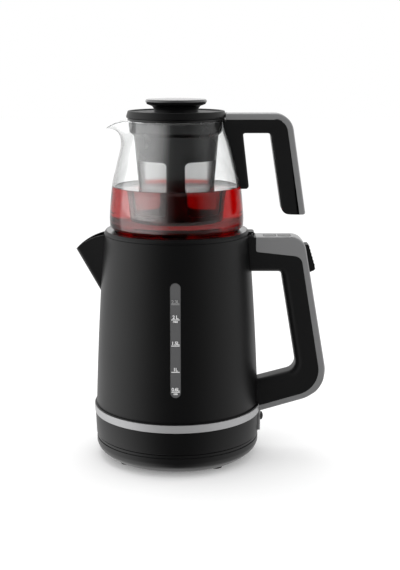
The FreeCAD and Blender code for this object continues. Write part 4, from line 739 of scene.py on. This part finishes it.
bevel_edges(cover, 0.0018, 5, cover_outside)
for key_name, key_x in KEYS.items():
    well = key_block("key_tool", key_x, KEY_GAP, HANDLE_TOP_Z - KEY_WELL_DEPTH, HANDLE_TOP_Z + TOOL_OVER,
                     KEY_WELL_ROUND)
    cut_away(cover, well)
    cap = key_block(key_name + "_cap", key_x, 0, HANDLE_TOP_Z - KEY_DEPTH, HANDLE_TOP_Z + KEY_PROUD, KEY_ROUND)
    bevel_edges(cap, 0.0005, 3, lambda point: point.z > HANDLE_TOP_Z)
    finish_piece(cap, KEY_GREY, key_name, replaces=(key_name,))
for half_moulding in (cover, grip):
    cut_away(half_moulding, slab("lever_tool", LEVER_POCKET, -LEVER_POCKET_HALF, LEVER_POCKET_HALF))
cut_away(cover, barrel("cover_tool", -COVER_GAP))
finish_piece(grip, SOFT_BLACK, "kettle", angle=32, replaces=("handle_grip",))
finish_piece(cover, SATIN_GREY, "kettle", angle=32, replaces=("handle_cover",))

# Thumb wedge: the black release button that stands out of the strip under the
# corner, with fine ribs across its face for grip.
WEDGE_TOP, WEDGE_LOW = Vector((0.1362, 0.2226)), Vector((0.1430, 0.2000))
WEDGE_HALF = 0.0080
RIBS = 6
RIB_DEPTH = 0.0006
wedge_face = []
for rib in range(RIBS):
    ridge = WEDGE_TOP.lerp(WEDGE_LOW, (rib + 0.1) / RIBS)
    valley = WEDGE_TOP.lerp(WEDGE_LOW, (rib + 0.8) / RIBS)
    wedge_face += [tuple(ridge), (valley.x - RIB_DEPTH, valley.y)]
wedge = slab("release_wedge", [(0.1262, 0.2232), (0.1348, 0.2240, 0.0008)] + wedge_face + [
    (0.1428, 0.1985, 0.0010), (0.1410, 0.1968, 0.0008), (0.1361, 0.1948), (0.1318, 0.1954), (0.1256, 0.2190),
], -WEDGE_HALF, WEDGE_HALF)
finish_piece(wedge, SOFT_BLACK, "release_button", replaces=("release_button",))

# Kettle lid: a glossy black deck that the teapot stands on, inside a matt bevelled
# rim. A tab at its back turns on the pin between the ears of the handle.
GLOSS_BLACK = moulded("lid_gloss_black", (0.007, 0.007, 0.0073), 0.12, 0.03, 400, 0.01, specular=0.4, coat=0.2)
HINGE_TAB_HALF = 0.0087
lid = turned("lid_deck_skin", [
    (0, 0.2389), (0.0721, 0.2389), (0.0721, 0.2370), (0, 0.2366),
], turns=192, close=False)
finish_piece(lid, GLOSS_BLACK, "kettle_lid", replaces=("lid_deck",))
lid_rim = turned("lid_rim_skin", [
    (0.0722, 0.2389), (0.0727, 0.2389, 0.0003), (0.0744, 0.2366, 0.0008), (0.0744, 0.2349), (0.0709, 0.2349),
    (0.0709, 0.2276), (0.0689, 0.2276), (0.0689, 0.2364), (0.0722, 0.2364),
], turns=192)
finish_piece(lid_rim, BODY_BLACK, "kettle_lid")
hinge_tab = slab("lid_hinge_tab", [
    (0.0690, 0.2349), (0.0760, 0.2340), (0.0774, 0.2328, 0.0010), (0.0796, 0.2340, 0.0010),
    (0.0796, 0.2368, 0.0014), (0.0774, 0.2373, 0.0010), (0.0720, 0.2372),
], -HINGE_TAB_HALF, HINGE_TAB_HALF)
finish_piece(hinge_tab, BASE_BLACK, "kettle_lid")
SILICONE = moulded("silicone_seal", (0.20, 0.20, 0.20), 0.55, 0.1, 900, 0.1)
coat_nodes(SILICONE, "lid_seal", "pot_lid_gasket", "heater_seal")
coat_nodes(BASE_BLACK, "lid_liner", "spout_strainer")

# Switch plate: a thin grey panel on the skirt's back under the handle, with the
# domed black power button.
coat_nodes(SATIN_GREY, "control_plate")
coat_nodes(GLOSS_BLACK, "power_button")

# Heater: a pressed stainless floor with its sheathed loop clamped below, and the
# two green boards behind the switch plate and under the keys.
STAINLESS = moulded("stainless_floor", (0.56, 0.56, 0.57), 0.28, 0.2, 700, 0.05, metallic=1.0)
BOARD_GREEN = moulded("board_green", (0.02, 0.11, 0.05), 0.4, 0.3, 700, 0.1)
coat_nodes(STAINLESS, "heater_plate", "heating_element")
coat_nodes(BOARD_GREEN, "key_board", "control_board")

# Teapot glass: mould-blown clear glass with a heavy foot, a bellied side, a
# straight neck, and a pouring lip pulled out of the rim while it was hot.
POT_BOTTOM_Z = 0.2392
POT_RIM_Z = 0.3500
POT_SIDE = [
    (0.0684, 0.2438), (0.0684, 0.2560), (0.0656, 0.2850), (0.0613, 0.3030),
    (0.0557, 0.3250), (0.0502, 0.3420), (0.0495, POT_RIM_Z),
]
POT_FOOT_R = 0.0640
GLASS_WALL = 0.0022
GLASS_RIM_ROUND = 0.0008
LIP_START_Z = 0.320
LIP_OUT = 0.0222
LIP_DROP = 0.0082
LIP_DROP_START = 0.33
LIP_HALF_ANGLE = math.radians(30)


def clear_material(name, ior, scale, low_tint, high_tint):
    """A clear material whose tint wanders a little with a soft noise."""
    material = bpy.data.materials.new(name)
    material.use_nodes = True
    tree = material.node_tree
    shader = tree.nodes["Principled BSDF"]
    shader.inputs["Transmission Weight"].default_value = 1.0
    shader.inputs["Roughness"].default_value = 0.0
    shader.inputs["IOR"].default_value = ior
    shades = tree.nodes.new("ShaderNodeValToRGB")
    shades.color_ramp.elements[0].color = (*low_tint, 1)
    shades.color_ramp.elements[1].color = (*high_tint, 1)
    tree.links.new(noise_step(tree, scale), shades.inputs["Fac"])
    tree.links.new(shades.outputs["Color"], shader.inputs["Base Color"])
    return material


GLASS = clear_material("clear_glass", 1.47, 18, (0.965, 0.975, 0.972), (0.990, 0.995, 0.993))


def spline(points, count):
    """Catmull-Rom points through a list of (radius, height) points."""
    ends = [points[0]] + list(points) + [points[-1]]
    out = []
    for p0, p1, p2, p3 in zip(ends, ends[1:], ends[2:], ends[3:]):
        for step in range(count):
            t = step / count
            out.append(tuple(0.5 * (2 * b + (c - a) * t + (2 * a - 5 * b + 4 * c - d) * t * t
                                    + (3 * b - a - 3 * c + d) * t * t * t)
                             for a, b, c, d in zip(p0, p1, p2, p3)))
    return out + [tuple(points[-1])]


side = spline(POT_SIDE, 7)
inside = [(r - GLASS_WALL, z) for r, z in reversed(side[3:])]
glass = turned("teapot_glass_skin", [
    (0, POT_BOTTOM_Z + 0.0016), (0.0580, POT_BOTTOM_Z + 0.0014, 0.003), (0.0600, POT_BOTTOM_Z, 0.0008),
    (POT_FOOT_R, POT_BOTTOM_Z, 0.0025),
] + side[:-1] + [
    (side[-1][0], POT_RIM_Z, GLASS_RIM_ROUND), (side[-1][0] - GLASS_WALL, POT_RIM_Z, GLASS_RIM_ROUND),
] + inside[1:] + [
    (POT_FOOT_R, POT_BOTTOM_Z + 0.0042, 0.0025), (0, POT_BOTTOM_Z + 0.0040),
], turns=192, steps=4, close=False)
for vertex in glass.data.vertices:
    x, y, z = vertex.co.x - AXIS_X, vertex.co.y, vertex.co.z
    turn = abs(math.atan2(y, -x))
    if z <= LIP_START_Z or turn >= LIP_HALF_ANGLE:
        continue
    share = (z - LIP_START_Z) / (POT_RIM_Z - LIP_START_Z)
    spread = math.cos(turn / LIP_HALF_ANGLE * math.pi / 2) ** 2
    radius = math.hypot(x, y)
    out = LIP_OUT * share ** 2.2 * spread
    drop_share = max(0.0, (share - LIP_DROP_START) / (1 - LIP_DROP_START))
    vertex.co.x -= out
    vertex.co.y *= (radius + out * 0.15) / radius
    vertex.co.z -= LIP_DROP * drop_share ** 2.5 * spread ** 2.4
finish_piece(glass, GLASS, "teapot", angle=60, replaces=("teapot_glass",))

# Tea: brewed black tea that half fills the pot, clear red where it is thin and
# nearly black where it is deep.
TEA_TOP_Z = 0.2835
TEA_FLOOR_Z = POT_BOTTOM_Z + 0.0032
TEA_SIDE_Z = 0.2480
TEA_LAP = 0.0003
MENISCUS_RISE, MENISCUS_WIDTH = 0.0006, 0.0015
TEA_RED = (0.92, 0.10, 0.02, 1)
TEA_DENSITY = 112.0
TEA = clear_material("brewed_tea", 1.33, 30, (0.99, 0.95, 0.93), (1.00, 0.97, 0.96))
tree = TEA.node_tree
depth = tree.nodes.new("ShaderNodeVolumeAbsorption")
depth.inputs["Color"].default_value = TEA_RED
depth.inputs["Density"].default_value = TEA_DENSITY
tree.links.new(depth.outputs["Volume"], tree.nodes["Material Output"].inputs["Volume"])
wet = [(r - GLASS_WALL + TEA_LAP, z) for r, z in side if TEA_SIDE_Z < z < TEA_TOP_Z]
tea = turned("tea_fill", [(0, TEA_FLOOR_Z), (0.0652, TEA_FLOOR_Z, 0.0030)] + wet + [
    (wet[-1][0], TEA_TOP_Z + MENISCUS_RISE), (wet[-1][0] - MENISCUS_WIDTH, TEA_TOP_Z), (0, TEA_TOP_Z),
], turns=160, close=False)
finish_piece(tea, TEA, "teapot", angle=50)

# Teapot handle: a black strap against the glass, arm and open-ended grip, with a
# satin grey strip along the top and down the back.
POT_HALF = 0.0125
POT_TOP_Z = 0.3572
POT_STRIP = 0.0060
POT_STRIP_LEAN = POT_STRIP * 1.02
POT_BACK = (0.1155, POT_TOP_Z)
POT_BACK_ROUND = 0.019
POT_END = (0.1313, 0.2555)
POT_ROOT_X = 0.0453
POT_ARM_Z = 0.3376
POT_STRAP_Z = 0.2815
POT_GAP_X = (0.066, POT_END[0] - 0.012)
POT_GAP_TOP_Z = 0.3380
POT_SLOPE = (POT_END[0] - POT_BACK[0]) / (POT_TOP_Z - POT_END[1])
HEAD_R = 0.0513
HEAD_Z = (0.340, 0.370)
CORE_TOP_Z = POT_TOP_Z + 0.01
GLASS_GAP = 0.0001
pot_split = [
    (POT_BACK[0] - POT_STRIP_LEAN + POT_STRIP * POT_SLOPE, POT_TOP_Z - POT_STRIP, 0.013),
    (POT_END[0] - POT_STRIP_LEAN, POT_END[1]),
]
pot_grip = slab("teapot_grip_skin", [(POT_ROOT_X, POT_TOP_Z - POT_STRIP)] + pot_split + [
    (0.1077, POT_END[1], 0.008), (0.0948, POT_ARM_Z, 0.0035), (0.0672, POT_ARM_Z, 0.002),
    (0.0738, POT_STRAP_Z, 0.0032), (0.0637, POT_STRAP_Z), (POT_ROOT_X, POT_ARM_Z),
], -POT_HALF, POT_HALF, steps=10)


def beside_pot_gap(point):
    """Whether a point lies on the side faces, below the arm."""
    across = POT_GAP_X[0] < point.x < POT_GAP_X[1]
    return on_side(point, POT_HALF) and across and point.z < POT_GAP_TOP_Z


bevel_edges(pot_grip, 0.0022, 5, beside_pot_gap)
core = turned("pot_core", [(0, POT_BOTTOM_Z)] + [(r + GLASS_GAP, z) for r, z in side] + [
    (HEAD_R, POT_RIM_Z), (HEAD_R, CORE_TOP_Z), (0, CORE_TOP_Z),
], turns=TOOL_TURNS)
cut_away(pot_grip, core)
finish_piece(pot_grip, SOFT_BLACK, "teapot", angle=32, replaces=("teapot_handle_grip",))
pot_cover = slab("teapot_cover_skin", [
    (POT_ROOT_X, POT_TOP_Z), (*POT_BACK, POT_BACK_ROUND), (*POT_END, 0.002),
] + list(reversed(pot_split)) + [(POT_ROOT_X, POT_TOP_Z - POT_STRIP)], -POT_HALF, POT_HALF, steps=12)


def pot_cover_outside(point):
    """Whether a point lies on the side faces, along the strip's outer edge."""
    behind = point.x > POT_BACK[0] + (POT_TOP_Z - point.z) * POT_SLOPE - POT_STRIP / 2
    on_top = point.z > POT_TOP_Z - 0.001
    at_corner = point.x > POT_BACK[0] - POT_BACK_ROUND and point.z > POT_TOP_Z - 0.008
    return on_side(point, POT_HALF) and (on_top or behind or at_corner)


bevel_edges(pot_cover, 0.0018, 5, pot_cover_outside)
head_tool = turned("head_tool", [
    (0, HEAD_Z[0]), (HEAD_R, HEAD_Z[0]), (HEAD_R, HEAD_Z[1]), (0, HEAD_Z[1]),
], turns=TOOL_TURNS)
cut_away(pot_cover, head_tool)
finish_piece(pot_cover, SATIN_GREY, "teapot", angle=32, replaces=("teapot_handle_cover",))

# Infuser: a moulded basket with a flanged collar, a tapered tube and four tall
# windows with round corners.
BASKET_BLACK = moulded("basket_satin_black", (0.0045, 0.0045, 0.0047), 0.28, 0.08, 1500, 0.04, specular=0.5)
BASKET_SILL_Z, BASKET_HEAD_Z = 0.2560, 0.3105
BASKET_SPAN = (0.012, 0.065)
BASKET_CORNER = 0.005
WINDOW_TURN = 2.5
WINDOW_HALVES = [(0.0190, 0.0232), (0.0190, 0.0232), (0.0172, 0.0209), (0.0172, 0.0209)]
basket = turned("infuser_basket", [
    (0.0449, 0.3525), (0.0492, 0.3525, 0.0006), (0.0492, 0.3503), (0.0467, 0.3500, 0.0004),
    (0.0460, 0.3385, 0.0028), (0.0428, 0.3350, 0.0016), (0.0354, 0.2480, 0.0012), (0.0264, 0.2480),
    (0.0264, 0.2496), (0.0336, 0.2496), (0.0410, 0.3340), (0.0442, 0.3385),
], turns=160, steps=5)
for quarter, (low_half, top_half) in enumerate(WINDOW_HALVES):
    tool = slab("basket_tool", [
        (-low_half, BASKET_SILL_Z, BASKET_CORNER), (low_half, BASKET_SILL_Z, BASKET_CORNER),
        (top_half, BASKET_HEAD_Z, BASKET_CORNER), (-top_half, BASKET_HEAD_Z, BASKET_CORNER),
    ], *BASKET_SPAN, steps=8)
    pick(tool)
    bpy.ops.object.mode_set(mode="EDIT")
    bpy.ops.mesh.select_all(action="SELECT")
    bpy.ops.transform.rotate(value=math.radians(45 - WINDOW_TURN + 90 * quarter), orient_axis="Z",
                             center_override=(AXIS_X, 0, 0))
    bpy.ops.object.mode_set(mode="OBJECT")
    cut_away(basket, tool)
finish_piece(basket, BASKET_BLACK, "infuser", angle=35, replaces=("infuser_frame",))

# Gauze: fine woven stainless wire behind the windows, as a tapered sleeve. The
# wires cross on the slant, as in the real cloth.
GAUZE = moulded("gauze_steel", (0.30, 0.30, 0.30), 0.34, 0.2, 900, 0.1, metallic=0.8)
GAUZE_LOW_R, GAUZE_SPREAD = 0.0332, 0.0058
GAUZE_LOW_Z, GAUZE_RISE = 0.2500, 0.0665
WIRE = 0.00050
ROWS = 21
gauze_side = [(GAUZE_LOW_R + GAUZE_SPREAD * row / ROWS, GAUZE_LOW_Z + GAUZE_RISE * row / ROWS)
              for row in range(ROWS + 1)]
gauze = turned("infuser_gauze", gauze_side, turns=76, close=False)
pick(gauze)
bpy.ops.object.mode_set(mode="EDIT")
bpy.ops.mesh.select_mode(type="FACE")
bpy.ops.mesh.select_all(action="SELECT")
straight = len(gauze.data.vertices)
bpy.ops.mesh.poke()
bpy.ops.mesh.select_mode(type="EDGE")
bpy.ops.mesh.select_all(action="DESELECT")
net = bmesh.from_edit_mesh(gauze.data)
net.verts.index_update()
for edge in net.edges:
    edge.select = len(edge.link_faces) == 2 and max(corner.index for corner in edge.verts) < straight
bmesh.update_edit_mesh(gauze.data)
bpy.ops.mesh.dissolve_edges(use_verts=False)
bpy.ops.object.mode_set(mode="OBJECT")
wires = gauze.modifiers.new("wires", "WIREFRAME")
wires.thickness = WIRE
wires.use_even_offset = False
bpy.ops.object.modifier_apply(modifier=wires.name)
finish_piece(gauze, GAUZE, "infuser", angle=30, replaces=("infuser_mesh",))

# Teapot lid: a dished black disc with a raised rim that rests on the basket. A
# short ring below it centres it in the collar.
pot_lid = turned("pot_lid_disc_skin", [
    (0, 0.3583), (0.0464, 0.3583, 0.0008), (0.0470, 0.3594, 0.0005), (0.0488, 0.3597, 0.0009),
    (0.0504, 0.3545, 0.0012), (0.0504, 0.3528, 0.0004), (0.0480, 0.3528), (0.0480, 0.3559),
    (0.0426, 0.3559), (0.0426, 0.3456), (0.0408, 0.3456), (0.0408, 0.3559), (0, 0.3559),
], turns=176, close=False)
finish_piece(pot_lid, BODY_BLACK, "pot_lid", replaces=("pot_lid_disc",))

# Knob: a glossy neck that flares under the fingers and carries a broad round cap
# with a bright, slightly crowned top.
CAP_STEEL = moulded("cap_dark_steel", (0.085, 0.085, 0.086), 0.18, 0.1, 900, 0.02, specular=0.5,
                    metallic=0.4, coat=0.6)
knob = turned("pot_lid_knob_skin", [
    (0.0203, 0.3583), (0.0223, 0.3583), (0.0223, 0.3612, 0.004), (0.0244, 0.3642, 0.003),
    (0.0298, 0.3662, 0.001), (0.0311, 0.3686), (0.0203, 0.3686),
], turns=144)
finish_piece(knob, GLOSS_BLACK, "pot_lid", replaces=("pot_lid_knob",))
cap = turned("knob_cap_skin", [
    (0, 0.3720), (0.0120, 0.37185), (0.0210, 0.3715), (0.0300, 0.3710, 0.0010), (0.0312, 0.3696, 0.0010),
    (0.0311, 0.3687), (0, 0.3687),
], turns=144, close=False)
finish_piece(cap, CAP_STEEL, "pot_lid", replaces=("knob_cap",))
